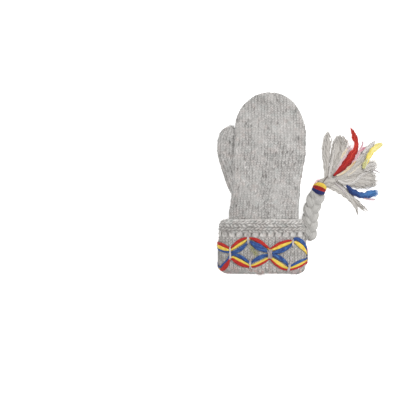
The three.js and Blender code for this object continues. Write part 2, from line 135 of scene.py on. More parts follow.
class StitchRow(NamedTuple):
    """Where each trio is stitched down on the cuff, and how far round from its even place."""

    upper: float
    lower: float
    upper_shift: float
    lower_shift: float


class YarnPose(NamedTuple):
    """How one yarn lies in one arc: its lane, its width and its height above its usual place."""

    lane: float
    width: float
    lift: float


class Couching(NamedTuple):
    """A bundle of grey stitches over one trio or both: its place, spread, reach and shade."""

    row: int
    y: float
    shift: float
    count: int
    spread: float
    above: float
    below: float
    tone: float


class FluffSpot(NamedTuple):
    """A small patch of loose fibres on the cuff."""

    x: float
    y: float
    size: float
    count: int
    length: float = 3.2
    lift: float = 0.3
    sink: float = -0.2
    outward: tuple[float, float, float] = (0, 0, 1)


HAND_SECTIONS = (
    Section(-118, -61.3, 47.8, 6.8, 27.8, 0),
    Section(-80, -60, 47.8, 6.8, 28, 0),
    Section(-50, -55.4, 45.3, 6.2, 28, 0),
    Section(-22, -51.9, 47, 1.5, 27.5, 1),
    Section(-8, -50.4, 48.4, 0, 27, 4),
    Section(12, -50, 51, 0, 26.5, 8),
    Section(32, -49.3, 53.8, 0, 26, 9.5),
    Section(52, -48.2, 55.8, 0, 25.5, 9.5),
    Section(69.6, -47.4, 56.3, 0, 24.5, 7),
)

THUMB_SECTIONS = (
    ThumbSection(-33, -24, 11.5, 7.4),
    ThumbSection(-42.5, -5, 13, 7.5),
    ThumbSection(-49.5, 17, 13.8, 7.5),
    ThumbSection(-54.5, 38, 14.4, 7.6),
    ThumbSection(-56.4, 58, 15.6, 7.6),
    ThumbSection(-51, 81, 15.6, 7.4),
)

CUFF_SECTIONS = (
    CuffSection(-131.2, -62.6, 49.6, 0, 34.2),
    CuffSection(-124, -67.6, 54, 0, 35),
    CuffSection(-114, -69.5, 55.7, 0, 35.3),
    CuffSection(-98, -69.4, 55.6, 0, 35.4),
    CuffSection(-73, -69, 53.4, 0, 35),
    CuffSection(-63, -69, 53.2, 0, 36.8),
    CuffSection(-53, -64.4, 51, 0, 34.2),
)

STITCH_ROWS = (
    StitchRow(-104.5, -104.5, 0, 0),
    StitchRow(-86, -120, 0, 0),
    StitchRow(-104, -104, 0, 0),
    StitchRow(-90, -123, 0, 7),
    StitchRow(-102.1, -102.1, 0, 0),
    StitchRow(-82.8, -119.5, -2.5, 0),
    StitchRow(-103, -103, 0, 0),
    StitchRow(-86.5, -123.4, 6, 0),
    StitchRow(-108.5, -108.5, 0, 0),
    StitchRow(-86, -120, 0, 0),
)

COUCHING = (
    Couching(0, -104.5, 0, 3, 0.8, 8, 8, 0.5),
    Couching(1, -86, 0, 3, 0.8, 5, 5.4, 0.5),
    Couching(1, -120, 0, 3, 0.8, 5.4, 5, 0.5),
    Couching(2, -104, 0, 3, 0.8, 8, 8, 0.5),
    Couching(3, -90, 0, 3, 0.8, 5, 5.4, 0.5),
    Couching(3, -123, 7, 3, 0.8, 5.4, 5, 0.5),
    Couching(4, -102.1, 0, 3, 0.5, 10.5, 11, 0.9),
    Couching(5, -82.8, -2.5, 3, 0.7, 5.4, 7, 0.9),
    Couching(5, -119.5, 0, 3, 0.7, 6.4, 5.6, 0.8),
    Couching(5, -112.5, 0.5, 1, 0, 9, 5, 0.9),
    Couching(6, -103, 0, 7, 2.6, 8, 8.6, 0.0),
    Couching(7, -86.5, 6, 3, 1, 5.4, 8, 0.7),
    Couching(7, -123.4, 0, 4, 1.2, 7, 6.6, 0.6),
    Couching(7, -112, 1, 1, 0, 6, 6, 0.9),
    Couching(8, -108.5, 0, 3, 0.8, 8, 8, 0.5),
    Couching(9, -86, 0, 3, 0.8, 5, 5.4, 0.5),
    Couching(9, -120, 0, 3, 0.8, 5.4, 5, 0.5),
)


def trio(*poses: tuple[float, float, float]) -> dict[Tint, YarnPose]:
    """Pair the red, the yellow and the blue yarn of an arc with how each lies in it.

    Args:
        *poses: The three poses as bare numbers, in the order of the tints.

    Returns:
        Each yarn's pose.
    """
    return {tint: YarnPose(*pose) for tint, pose in zip(Tint, poses)}


# How the three yarns share each arc that shows, by wave and step, arc for arc.
ARC_POSES = {
    (Wave.UPPER, 3): trio((0.9, 1.2, 0.2), (-0.1, 1.4, 0.1), (-1.0, 0.8, -0.2)),
    (Wave.UPPER, 4): trio((0.95, 1.05, 0.1), (0.1, 0.85, 0.0), (-1.08, 1.3, 0.2)),
    (Wave.UPPER, 5): trio((0.95, 1.25, 0.3), (0.9, 0.5, -1.3), (-0.4, 2.1, 0.6)),
    (Wave.UPPER, 6): trio((1.0, 0.95, 0.1), (0.2, 1.1, 0.0), (-0.98, 1.5, 0.2)),
    (Wave.UPPER, 7): trio((0.6, 0.5, -1.0), (0.5, 1.4, 0.4), (1.7, 1.35, 0.5)),
    (Wave.LOWER, 3): trio((1.3, 1.6, 0.5), (1.3, 0.5, -1.0), (0.55, 0.8, -0.1)),
    (Wave.LOWER, 4): trio((0.8, 1.35, 0.2), (0.0, 0.85, 0.0), (-1.05, 1.1, 0.1)),
    (Wave.LOWER, 5): trio((0.85, 0.85, 0.0), (0.3, 0.8, 0.0), (-0.95, 1.3, 0.2)),
    (Wave.LOWER, 6): trio((1.0, 0.8, 0.0), (0.35, 1.15, 0.2), (-1.0, 1.35, 0.1)),
    (Wave.LOWER, 7): trio((0.9, 0.8, 0.0), (0.2, 0.85, 0.0), (-0.6, 0.95, 0.0)),
}

GREEN_FLUFF = (
    FluffSpot(-22.4, -94, 2.8, 180),
    FluffSpot(-17.6, -102.6, 2.8, 160),
    FluffSpot(-21, -98.5, 4, 50),
)

PINK_FLUFF = (
    FluffSpot(-52, -127, 6, 40, 3),
    FluffSpot(38, -128, 8, 50, 3),
    FluffSpot(-30, -84, 8, 50),
    FluffSpot(20, -86, 10, 60),
    FluffSpot(-24, -113, 4, 50),
    FluffSpot(54.5, -116, 5, 60, 3.6, 0.6, 12, (0.8, -0.3, 0.5)),
    FluffSpot(-68, -118, 8, 50, 3.6, 0.6, 12, (-0.8, -0.3, 0.5)),
)

BROWN_FLUFF = (FluffSpot(-10.5, -132, 4.4, 190, 4.6, 0.8, 6, (0.1, -1, 0.2)),)


def lengths_of(array: Array) -> Array:
    """Measure vectors along the last axis, which is kept; none comes out as zero.

    Args:
        array: Vectors along the last axis.

    Returns:
        Their lengths.
    """
    return np.maximum(np.linalg.norm(array, axis=-1, keepdims=True), 1e-12)


def walked_to(points: Array) -> Array:
    """Add up how far along a row of points each one lies.

    Args:
        points: The points in order.

    Returns:
        The distance to each.
    """
    return np.concatenate([[0], np.cumsum(lengths_of(np.diff(points, axis=0))[:, 0])])


def unit(array: Array) -> Array:
    """Scale vectors along the last axis to length one.

    Args:
        array: Vectors along the last axis.

    Returns:
        The unit vectors.
    """
    return array / lengths_of(array)


def smoothstep(value: Array, start: float, end: float) -> Array:
    """Rise smoothly from 0 at the start to 1 at the end, as 3p^2 - 2p^3.

    Args:
        value: Where to work it out.
        start: Where the rise begins.
        end: Where it ends.

    Returns:
        The rise, from 0 to 1.
    """
    part = np.clip((value - start) / (end - start), 0, 1)
    return part * part * (3 - 2 * part)


def hermite(knots: Array, values: Array, slopes: Array, at: Array) -> Array:
    """Blend rows of values with cubics that meet each row's value and slope.

    Args:
        knots: Places of the rows, rising.
        values: One row of numbers for each knot.
        slopes: Their slopes at the knots.
        at: Where to work them out.

    Returns:
        The blended rows, with the columns along the last axis.
    """
    at = np.clip(at, knots[0], knots[-1])
    i = np.clip(np.searchsorted(knots, at, side="right") - 1, 0, len(knots) - 2)
    step = (knots[i + 1] - knots[i])[..., None]
    p = (at - knots[i])[..., None] / step
    start = (2 * p**3 - 3 * p**2 + 1) * values[i] + (p**3 - 2 * p**2 + p) * step * slopes[i]
    end = (3 * p**2 - 2 * p**3) * values[i + 1] + (p**3 - p**2) * step * slopes[i + 1]
    return start + end


def blend(knots: Array, values: Array, at: Array) -> Array:
    """Blend rows of values with cubics whose slope at a knot is the mean of the chords beside.

    Args:
        knots: Places of the rows, rising.
        values: One row of numbers for each knot.
        at: Where to work them out.

    Returns:
        The blended rows, with the columns along the last axis.
    """
    chords = np.diff(values, axis=0) / np.diff(knots)[:, None]
    slopes = np.vstack([chords[:1], (chords[1:] + chords[:-1]) / 2, chords[-1:]])
    return hermite(knots, values, slopes, np.asarray(at, float))


def table_at(rows: Sequence[NamedTuple], at: Array) -> dict[str, Array]:
    """Blend a table over its first column.

    Args:
        rows: The table, in rising order of its first column.
        at: Where to work it out.

    Returns:
        Each column's values, under its name.
    """
    table = np.asarray(rows, float)
    blended = blend(table[:, 0], table[:, 1:], at)
    first, *others = rows[0]._fields
    return {first: np.asarray(at, float), **{name: blended[..., k] for k, name in enumerate(others)}}


class Line:
    """A smooth line through points, walked by share of its length."""

    def __init__(self, points: Sequence[Sequence[float]]) -> None:
        """Lay a centripetal curve through the points and measure it.

        Args:
            points: Points on the line, in millimetres.
        """
        through = np.asarray(points, float)
        gaps = np.sqrt(np.linalg.norm(np.diff(through, axis=0), axis=1))
        chords = np.diff(through, axis=0) / gaps[:, None]
        before, after = gaps[:-1, None], gaps[1:, None]
        inner = (chords[:-1] * after + chords[1:] * before) / (before + after)
        self._knots = np.concatenate([[0], np.cumsum(gaps)])
        self._points = through
        self._slopes = np.vstack([chords[:1], inner, chords[-1:]])
        self._fine = np.linspace(0, self._knots[-1], 60 * len(through))
        self._walked = walked_to(hermite(self._knots, self._points, self._slopes, self._fine))
        self.length = float(self._walked[-1])

    def at(self, share: Array) -> Array:
        """Find points on the line by their shares of its length."""
        place = np.interp(np.asarray(share) * self.length, self._walked, self._fine)
        return hermite(self._knots, self._points, self._slopes, place)

    def frames(self, share: Array) -> tuple[Array, Array, Array]:
        """Find points with their side and up directions, where up leans to +Z.

        Args:
            share: Shares of the line's length.

        Returns:
            The points, side directions and up directions.
        """
        share = np.asarray(share, float)
        along = self.at(np.minimum(share + 2e-3, 1)) - self.at(np.maximum(share - 2e-3, 0))
        return frames_on(self.at(share), along)


def frames_on(centres: Array, along: Array) -> tuple[Array, Array, Array]:
    """Stand a section upright on a line's direction: side is along x +Z, up is side x along.

    Args:
        centres: Points of the line.
        along: Its directions there.

    Returns:
        The points, side directions and up directions.
    """
    along = unit(along)
    side = unit(np.cross(along, np.broadcast_to(UP, along.shape)))
    return centres, side, np.cross(side, along)


def ripple(points: Array, wavelength: float, seed: int) -> Array:
    """Make a smooth, random, wavy field: sines of plane waves added up, about -1 to 1.

    Args:
        points: Where to work it out, in millimetres.
        wavelength: The usual distance between crests.
        seed: Fixes the random numbers.

    Returns:
        The field's values.
    """
    rng = np.random.default_rng(seed)
    ways = unit(rng.normal(size=(PLANE_WAVES, points.shape[-1])))
    ways *= TURN / wavelength * rng.uniform(0.7, 1.4, (PLANE_WAVES, 1))
    phases = rng.uniform(0, TURN, PLANE_WAVES)
    return np.sin(points @ ways.T + phases).sum(-1) / math.sqrt(PLANE_WAVES)


@dataclass
class Shell:
    """Points, faces, UV corners and named values of a closed surface, in millimetres."""

    points: Array
    quads: Array
    triangles: Array
    uv: Array
    values: dict[str, Array]

    @property
    def volume(self) -> float:
        """Measure the enclosed volume, which is negative if the faces point inwards."""
        halves = [self.quads[:, [0, 1, 2]], self.quads[:, [0, 2, 3]], self.triangles]
        corners = self.points[np.vstack(halves)]
        a, b, c = corners[:, 0], corners[:, 1], corners[:, 2]
        return float(np.einsum("ij,ij->", a, np.cross(b, c)) / 6)

    def outward(self) -> "Shell":
        """Turn the faces so that they point outwards, and give back the same shell."""
        if self.volume < 0:
            count = 4 * len(self.quads)
            self.uv = np.vstack(
                [
                    self.uv[:count].reshape(-1, 4, 2)[:, ::-1].reshape(-1, 2),
                    self.uv[count:].reshape(-1, 3, 2)[:, ::-1].reshape(-1, 2),
                ]
            )
            self.quads = self.quads[:, ::-1]
            self.triangles = self.triangles[:, ::-1]
        return self


def grid_shell(
    rings: Array,
    values: dict[str, Array],
    poles: bool = True,
    uv_size: tuple[float, float] = (1.0, 1.0),
) -> Shell:
    """Make closed surfaces of grids: rings joined in turn, with a pole beyond each end.

    Args:
        rings: Points as tubes x rings x columns x 3.
        values: Named values for each point, as tubes x rings x columns.
        poles: Closes each end on the middle of its ring, or else joins the last ring to the first.
        uv_size: The UV map's span round a ring and along the rings.

    Returns:
        The surface of all tubes.
    """
    tubes, count, columns, _ = rings.shape
    body = rings.reshape(tubes, count * columns, 3)
    if poles:
        body = np.concatenate([body, rings[:, [0, -1]].mean(2)], axis=1)
    each = body.shape[1]
    last = count - 1 if poles else count
    ring = np.arange(last)[:, None]
    column = np.arange(columns)[None, :]
    beside = (column + 1) % columns
    above = (ring + 1) % count
    spots = (ring * columns + column, ring * columns + beside)
    tops = (above * columns + beside, above * columns + column)
    quads = np.stack([np.broadcast_to(s, (last, columns)) for s in spots + tops], -1).reshape(-1, 4)
    u = np.broadcast_to(np.stack([column, column + 1, column + 1, column], -1), (last, columns, 4))
    v = np.broadcast_to(np.stack([ring, ring, ring + 1, ring + 1], -1), (last, columns, 4))
    uv = [np.stack([u / columns, v / last], -1).reshape(-1, 2)]
    triangles = np.zeros((0, 3), int)
    if poles:
        start, end = count * columns, count * columns + 1
        turn = np.arange(columns)
        rim = (count - 1) * columns
        low = np.stack([(turn + 1) % columns, turn, np.full(columns, start)], -1)
        high = np.stack([rim + turn, rim + (turn + 1) % columns, np.full(columns, end)], -1)
        triangles = np.vstack([low, high])
        middle = (turn + 0.5) / columns
        for first, second, level in ((turn + 1, turn, 0.0), (turn, turn + 1, 1.0)):
            corners = np.stack([first / columns, second / columns, middle], -1)
            uv.append(np.stack([corners, np.full((columns, 3), level)], -1).reshape(-1, 2))
    shift = (np.arange(tubes) * each)[:, None, None]
    quad_uv, tri_uv = uv[0], np.vstack(uv[1:]) if poles else np.zeros((0, 2))
    span = np.array(uv_size)
    spread = {}
    for name, given in values.items():
        full = np.broadcast_to(given, (tubes, count, columns))
        flat = full.reshape(tubes, -1)
        if poles:
            flat = np.concatenate([flat, full[:, [0, -1]].mean(2)], axis=1)
        spread[name] = flat.ravel()
    return Shell(
        points=body.reshape(-1, 3),
        quads=(quads[None] + shift).reshape(-1, 4),
        triangles=(triangles[None] + shift).reshape(-1, 3),
        uv=np.vstack([np.tile(quad_uv, (tubes, 1)), np.tile(tri_uv, (tubes, 1))]) * span,
        values=spread,
    ).outward()


def merge(shells: Sequence[Shell]) -> Shell:
    """Put several shells in one, which keeps the values that all of them have.

    Args:
        shells: The shells.

    Returns:
        One shell.
    """
    counts = np.cumsum([0] + [len(s.points) for s in shells])
    quad_uv = [s.uv[: 4 * len(s.quads)] for s in shells]
    tri_uv = [s.uv[4 * len(s.quads) :] for s in shells]
    names = set.intersection(*(set(s.values) for s in shells))
    return Shell(
        points=np.vstack([s.points for s in shells]),
        quads=np.vstack([s.quads + n for s, n in zip(shells, counts)]),
        triangles=np.vstack([s.triangles + n for s, n in zip(shells, counts)]),
        uv=np.vstack(quad_uv + tri_uv),
        values={k: np.concatenate([s.values[k] for s in shells]) for k in sorted(names)},
    )


def make_piece(
    name: str,
    shell: Shell,
    material: bpy.types.Material,
    slot: str,
    replaces: Sequence[str] = (),
) -> bpy.types.Object:
    """Turn a shell into a smooth mesh object that rides on the mitten.

    Args:
        name: The piece's name.
        shell: Its surface.
        material: Its finish.
        slot: The record's material slot; not used.
        replaces: CAD nodes that it stands for.

    Returns:
        The object.
    """
    mesh = bpy.data.meshes.new(name)
    quads, triangles = len(shell.quads), len(shell.triangles)
    mesh.vertices.add(len(shell.points))
    mesh.vertices.foreach_set("co", (shell.points * MM).astype(np.float32).ravel())
    corners = np.concatenate([shell.quads.ravel(), shell.triangles.ravel()])
    mesh.loops.add(len(corners))
    mesh.loops.foreach_set("vertex_index", corners.astype(np.int32))
    mesh.polygons.add(quads + triangles)
    starts = np.concatenate([np.arange(quads) * 4, quads * 4 + np.arange(triangles) * 3])
    mesh.polygons.foreach_set("loop_start", starts.astype(np.int32))
    mesh.polygons.foreach_set("use_smooth", np.ones(quads + triangles, bool))
    mesh.update(calc_edges=True)
    layer = mesh.uv_layers.new(name="fibre")
    layer.uv.foreach_set("vector", shell.uv.astype(np.float32).ravel())
    for label, given in shell.values.items():
        attribute = mesh.attributes.new(label, "FLOAT", "POINT")
        attribute.data.foreach_set("value", given.astype(np.float32))
    mesh.validate()
    mesh.materials.append(material)
    piece = bpy.data.objects.new(name, mesh)
    bpy.context.scene.collection.objects.link(piece)
    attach(piece, ROOT)
    if replaces:
        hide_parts(*replaces)
    log.info("%s: %d triangles", name, 2 * quads + triangles)
    return piece


def respace(rings: Array, columns: int) -> Array:
    """Space the points of each ring evenly along it, without one at its end.

    Args:
        rings: Finely drawn rings as rings x points x 3.
        columns: How many points each ring gets.

    Returns:
        The evenly spaced rings.
    """
    steps = lengths_of(np.diff(rings, axis=1))[..., 0]
    walked = np.concatenate([np.zeros((len(rings), 1)), np.cumsum(steps, axis=1)], axis=1)
    shares = np.linspace(0, 1, columns, endpoint=False)
    spaced = np.empty((len(rings), columns, 3))
    for r, (ring, lengths) in enumerate(zip(rings, walked)):
        for axis in range(3):
            spaced[r, :, axis] = np.interp(shares * lengths[-1], lengths, ring[:, axis])
    return spaced


def ring_lengths(rings: Array) -> Array:
    """Measure rings drawn as rings x points x 3.

    Args:
        rings: The rings.

    Returns:
        The length of each.
    """
    return lengths_of(np.diff(rings, axis=1))[..., 0].sum(1)


def swept(centre: Array, side: Array, up: Array, across: Array, rise: Array) -> Array:
    """Draw a ring round each point of a line: the point plus two directions times two reaches.

    Args:
        centre: Points of the line or lines.
        side: Side directions there.
        up: Up directions there.
        across: How far aside each point of each ring lies.
        rise: How far up each lies.

    Returns:
        The rings, their points in the last axis but one.
    """
    aside = centre[..., None, :] + side[..., None, :] * across[..., None]
    return aside + up[..., None, :] * rise[..., None]


def grid_normals(grid: Array, wrap_rows: bool = False) -> Array:
    """Find unit normals of a grid whose columns go round: the cross product of its two slopes.

    Args:
        grid: Points as rows x columns x 3.
        wrap_rows: The last row is followed by the first.

    Returns:
        The normals, all on the side that the columns' way x the rows' way gives.
    """
    round_way = np.roll(grid, -1, axis=1) - np.roll(grid, 1, axis=1)
    if wrap_rows:
        along = np.roll(grid, -1, axis=0) - np.roll(grid, 1, axis=0)
    else:
        along = np.gradient(grid, axis=0)
    return unit(np.cross(round_way, along))


def section_ring(rows: dict[str, Array], angles: Array, grow: Array | float = 0.0) -> Array:
    """Draw cross-sections: superellipses pressed flat underneath, with a tucked-up edge.

    The section's point at an angle is its middle plus its half sizes times the signed powers of
    the cosine and sine. The lower half sags past the table and is cut off at the section's
    underside, and the thumb-side edge rises by the tuck times the squared nearness to it.

    Args:
        rows: The sections' left, right, under, top, y and tuck.
        angles: Angles from +X towards +Z, as rows x points.
        grow: How far outside the sections to draw.

    Returns:
        The points as rows x points x 3.
    """
    grow = np.asarray(grow, float)[..., None] if np.ndim(grow) else grow
    left, right = rows["left"][:, None], rows["right"][:, None]
    under, top = rows["under"][:, None], rows["top"][:, None]
    across = np.sign(np.cos(angles)) * np.abs(np.cos(angles)) ** (2 / SQUARENESS)
    rise = np.sign(np.sin(angles)) * np.abs(np.sin(angles)) ** (2 / SQUARENESS)
    x = (left + right) / 2 + ((right - left) / 2 + grow) * across
    sag = np.where(rise < 0, UNDERSIDE_BULGE, 1)
    z = (top + under) / 2 + ((top - under) / 2 + grow) * rise * sag
    inward = np.minimum(1, (x - left) / TUCK_WIDTH)
    tuck = rows["tuck"][:, None] if "tuck" in rows else 0
    z = np.maximum(z, under - grow) + tuck * (1 - inward) ** 2
    return np.stack([x, np.broadcast_to(rows["y"][:, None], x.shape), z], -1)


@dataclass(frozen=True)
class Stockinette:
    """Plain knitting: nested V stitches in upright columns, softened by felting."""

    wale: float
    course: float
    depth: float
    lean: float = 0.62
    notch: float = 0.55
    unevenness: float = 0.2
    seed: int = 1

    def relief(self, wales: Array, courses: Array) -> tuple[Array, Array]:
        """Work out how high the knit stands at a place, from 0 in the creases to about 1.

        Each column has two legs, highest midway between its centre line and its edge. The legs
        rise outwards from the centre line, so a stitch is the part of them between two slanted
        creases, rounded as a power of a half sine. Every stitch is a little higher or lower than the next.

        Args:
            wales: Place across the columns, counted in columns.
            courses: Place up the columns, counted in stitches.

        Returns:
            The height, and a number for each leg that is spread like a bell round 0.
        """
        rng = np.random.default_rng(self.seed)
        uneven = rng.normal(size=(97, 61))
        from_centre = np.abs(2 * (wales % 1) - 1)
        side = 2 * np.abs(from_centre - 0.5)
        leg = np.where(from_centre < 0.5, 1 - 0.55 * side**2.2, 1 - side**2.2)
        phase = courses - self.lean * from_centre
        bump = np.sin(np.pi * (phase % 1)) ** 0.75
        pick = uneven[np.floor(phase).astype(int) % 97, np.floor(2 * wales).astype(int) % 61]
        height = leg * (1 - self.notch + self.notch * bump)
        return height * (1 + self.unevenness * pick * bump), pick


class Tree:
    """A node tree with short ways to add and join nodes."""

    def __init__(self, tree: bpy.types.NodeTree) -> None:
        """Take a node tree in hand."""
        self.tree = tree

    def add(self, kind: str, **settings: object) -> bpy.types.Node:
        """Add a node.

        Args:
            kind: The node's type name.
            **settings: Its properties, and its inputs as a dict under the name inputs.

        Returns:
            The node.
        """
        node = self.tree.nodes.new(kind)
        inputs = settings.pop("inputs", {})
        for name, value in settings.items():
            setattr(node, name, value)
        self.fill(node, inputs)
        return node

    def fill(self, node: bpy.types.Node, inputs: dict[str | int, object]) -> None:
        """Fill a node's inputs.

        Args:
            node: The node.
            inputs: For each input a socket to join it to, or its plain value.
        """
        for name, value in inputs.items():
            if isinstance(value, bpy.types.NodeSocket):
                self.tree.links.new(value, node.inputs[name])
            else:
                node.inputs[name].default_value = value

    def attribute(self, name: str) -> bpy.types.NodeSocket:
        """Read one of the mesh's named values."""
        return self.add("ShaderNodeAttribute", attribute_name=name).outputs["Fac"]

    def noise(self, vector: bpy.types.NodeSocket, scale: float, detail: float) -> object:
        """Add a noise texture, read at the vector, and give the socket with its value."""
        inputs = {"Vector": vector, "Scale": scale, "Detail": detail, "Roughness": 0.6}
        return self.add("ShaderNodeTexNoise", inputs=inputs).outputs["Fac"]

    def between(self, value: object, low: float, high: float, top: float = 1.0) -> object:
        """Rise from 0 at the low value to the top at the high one.

        Args:
            value: The value that is read.
            low: Where the rise begins.
            high: Where it ends.
            top: What it rises to.

        Returns:
            The socket with the result.
        """
        inputs = {"Value": value, "From Min": low, "From Max": high, "To Max": top}
        node = self.add("ShaderNodeMapRange", interpolation_type="SMOOTHSTEP", inputs=inputs)
        return node.outputs["Result"]

    def mix(self, kind: str, share: object, first: object, second: object) -> object:
        """Mix two colours.

        Args:
            kind: The way of mixing.
            share: How much of the second.
            first: The first colour.
            second: The second colour.

        Returns:
            The socket with the mixed colour.
        """
        inputs = {0: share, 6: first, 7: second}
        node = self.add("ShaderNodeMix", data_type="RGBA", blend_type=kind, inputs=inputs)
        return node.outputs[2]


SOCKET_KINDS = {
    "Vector": "Vector",
    "UV": "Vector",
    "Relief": "Float",
    "Tone": "Float",
    "Hair": "Float",
    "Streak": "Float",
}


def new_group(name: str, inputs: Sequence[str], outputs: Sequence[str]) -> bpy.types.NodeTree:
    """Make an empty shader node group, whose sockets are colours unless they are listed above.

    Args:
        name: The group's name.
        inputs: Its input sockets' names.
        outputs: Its output sockets' names.

    Returns:
        The group.
    """
    group = bpy.data.node_groups.new(name, "ShaderNodeTree")
    for way, labels in (("INPUT", inputs), ("OUTPUT", outputs)):
        for label in labels:
            kind = f"NodeSocket{SOCKET_KINDS.get(label, 'Color')}"
            group.interface.new_socket(label, in_out=way, socket_type=kind)
    return group


def heather_and_painted_shade_group() -> bpy.types.NodeTree:
    """Build the heathered colour of undyed grey wool, with the height of its surface hairs.

    Broad patches lean faintly to a warm and a cool grey, small flecks are lighter or darker,
    painted shade darkens the knit's creases, its deepest holes most, and hairs are a fine, strong noise.

    Returns:
        The group, with Vector, Base, Warm, Cool, Relief and Tone in, Color and Hair out.
    """
    inputs = ("Vector", "Base", "Warm", "Cool", "Relief", "Tone")
    group = new_group("heathered_wool_and_painted_shade", inputs, ("Color", "Hair"))
    tree = Tree(group)
    given = tree.add("NodeGroupInput").outputs
    vector = given["Vector"]
    warm = tree.between(tree.noise(vector, 95, 3), 0.5, 0.68, 0.8)
    moved = tree.add("ShaderNodeVectorMath", operation="ADD", inputs={0: vector, 1: (0.4, 0.7, 0.2)})
    cool = tree.between(tree.noise(moved.outputs[0], 120, 3), 0.52, 0.68, 0.7)
    colour = tree.mix("MIX", warm, given["Base"], given["Warm"])
    colour = tree.mix("MIX", cool, colour, given["Cool"])
    fleck = tree.noise(vector, 800, 2)
    colour = tree.mix("MULTIPLY", tree.between(fleck, 0.52, 0.68, 0.36), colour, (0.5, 0.49, 0.48, 1))
    colour = tree.mix("SCREEN", tree.between(fleck, 0.46, 0.32, 0.5), colour, (0.4, 0.39, 0.38, 1))
    # The tone lightens or darkens the wool at random; on the cuff it also carries painted light towards the
    # bottom edge.
    lighter = tree.between(given["Tone"], 0.5, 1.0, 0.65)
    colour = tree.mix("SCREEN", lighter, colour, (0.4, 0.39, 0.375, 1))
    darker = tree.between(given["Tone"], 0.5, 0.0, 0.8)
    colour = tree.mix("MULTIPLY", darker, colour, (0.48, 0.475, 0.47, 1))
    # Painted shade: the knit's creases darken with their depth in the relief, the deepest holes most.
    crease = tree.between(given["Relief"], 0.85, 0.15, 0.85)
    colour = tree.mix("MULTIPLY", crease, colour, (0.34, 0.335, 0.33, 1))
    hole = tree.between(given["Relief"], 0.12, 0.0, 0.5)
    colour = tree.mix("MULTIPLY", hole, colour, (0.3, 0.29, 0.29, 1))
    hair = tree.noise(vector, 2600, 3)
    tree.add("NodeGroupOutput", inputs={"Color": colour, "Hair": hair})
    return group


def roving_group() -> bpy.types.NodeTree:
    """Build the streaks of loosely spun yarn, drawn out along its length.

    A noise is read on the UV map with its length squeezed, so that its features become fine
    lines along the yarn, and it lightens, darkens and raises the surface.

    Returns:
        The group, with UV, Base, Light, Dark and Tone in, Color and Streak out.
    """
    group = new_group("drawn_out_roving", ("UV", "Base", "Light", "Dark", "Tone"), ("Color", "Streak"))
    tree = Tree(group)
    given = tree.add("NodeGroupInput").outputs
    squeezed = tree.add("ShaderNodeMapping", inputs={"Vector": given["UV"], "Scale": (1, 0.07, 1)})
    streak = tree.noise(squeezed.outputs[0], 2.4, 4)
    colour = tree.mix("MIX", tree.between(streak, 0.5, 0.72, 0.75), given["Base"], given["Light"])
    colour = tree.mix("MIX", tree.between(streak, 0.5, 0.28, 0.75), colour, given["Dark"])
    colour = tree.mix("MIX", tree.between(given["Tone"], 0.55, 1.0, 0.7), colour, given["Light"])
    colour = tree.mix("MIX", tree.between(given["Tone"], 0.45, 0.0, 0.7), colour, given["Dark"])
    tree.add("NodeGroupOutput", inputs={"Color": colour, "Streak": streak})
    return group


def new_material(name: str) -> tuple[bpy.types.Material, Tree, bpy.types.Node]:
    """Start a material.

    Args:
        name: Its name.

    Returns:
        The material, its node tree and its shader.
    """
    material = bpy.data.materials.new(name)
    material.use_nodes = True
    return material, Tree(material.node_tree), material.node_tree.nodes["Principled BSDF"]


@dataclass(frozen=True)
class HeatherWithPaintedShadeFinish:
    """Undyed grey wool, matt and a little hairy, whose colour follows the knit's relief as painted crease
    shade.
    """

    name: str
    base: Colour
    warm: Colour
    cool: Colour
    stain: Colour = (0.52, 0.36, 0.33)
    sheen: float = 0.12
    hair_height: float = 0.25

    def build(self, group: bpy.types.NodeTree) -> bpy.types.Material:
        """Make the material.

        Args:
            group: The node group of the heathered colour with its painted crease shade.

        Returns:
            The material.
        """
        material, tree, shader = new_material(self.name)
        where = tree.add("ShaderNodeTexCoord").outputs["Object"]
        inputs = {
            "Vector": where,
            "Base": (*self.base, 1),
            "Warm": (*self.warm, 1),
            "Cool": (*self.cool, 1),
            # The relief drives the painted shade in the knit's creases and holes.
            "Relief": tree.attribute("relief"),
            "Tone": tree.attribute("tone"),
        }
        wool = tree.add("ShaderNodeGroup", node_tree=group, inputs=inputs)
        blotch = tree.between(tree.noise(where, 450, 2), 0.42, 0.62)
        both = {0: blotch, 1: tree.attribute("stain")}
        share = tree.add("ShaderNodeMath", operation="MULTIPLY", inputs=both).outputs[0]
        colour = tree.mix("MIX", share, wool.outputs["Color"], (*self.stain, 1))
        height = {"Strength": self.hair_height, "Distance": 0.0006, "Height": wool.outputs["Hair"]}
        bump = tree.add("ShaderNodeBump", inputs=height)
        inputs = {
            "Base Color": colour,
            "Normal": bump.outputs["Normal"],
            "Roughness": 0.95,
            "Specular IOR Level": 0.15,
            "Sheen Weight": self.sheen,
            "Sheen Roughness": 0.5,
        }
        tree.fill(shader, inputs)
        return material


@dataclass(frozen=True)
class RovingFinish:
    """Loosely spun yarn with fine streaks along its length."""

    name: str
    base: Colour
    light: Colour
    dark: Colour
    sheen: float = 0.15
    streak_height: float = 0.35

    def build(self, group: bpy.types.NodeTree) -> bpy.types.Material:
        """Make the material.

        Args:
            group: The streaks' node group.

        Returns:
            The material.
        """
        material, tree, shader = new_material(self.name)
        uv = tree.add("ShaderNodeUVMap", uv_map="fibre").outputs["UV"]
        inputs = {
            "UV": uv,
            "Base": (*self.base, 1),
            "Light": (*self.light, 1),
            "Dark": (*self.dark, 1),
            "Tone": tree.attribute("tone"),
        }
        yarn = tree.add("ShaderNodeGroup", node_tree=group, inputs=inputs)
        height = {"Strength": self.streak_height, "Distance": 0.0005, "Height": yarn.outputs["Streak"]}
        bump = tree.add("ShaderNodeBump", inputs=height)
        inputs = {
            "Base Color": yarn.outputs["Color"],
            "Normal": bump.outputs["Normal"],
            "Roughness": 0.8,
            "Specular IOR Level": 0.25,
            "Sheen Weight": self.sheen,
            "Sheen Roughness": 0.4,
        }
        tree.fill(shader, inputs)
        return material


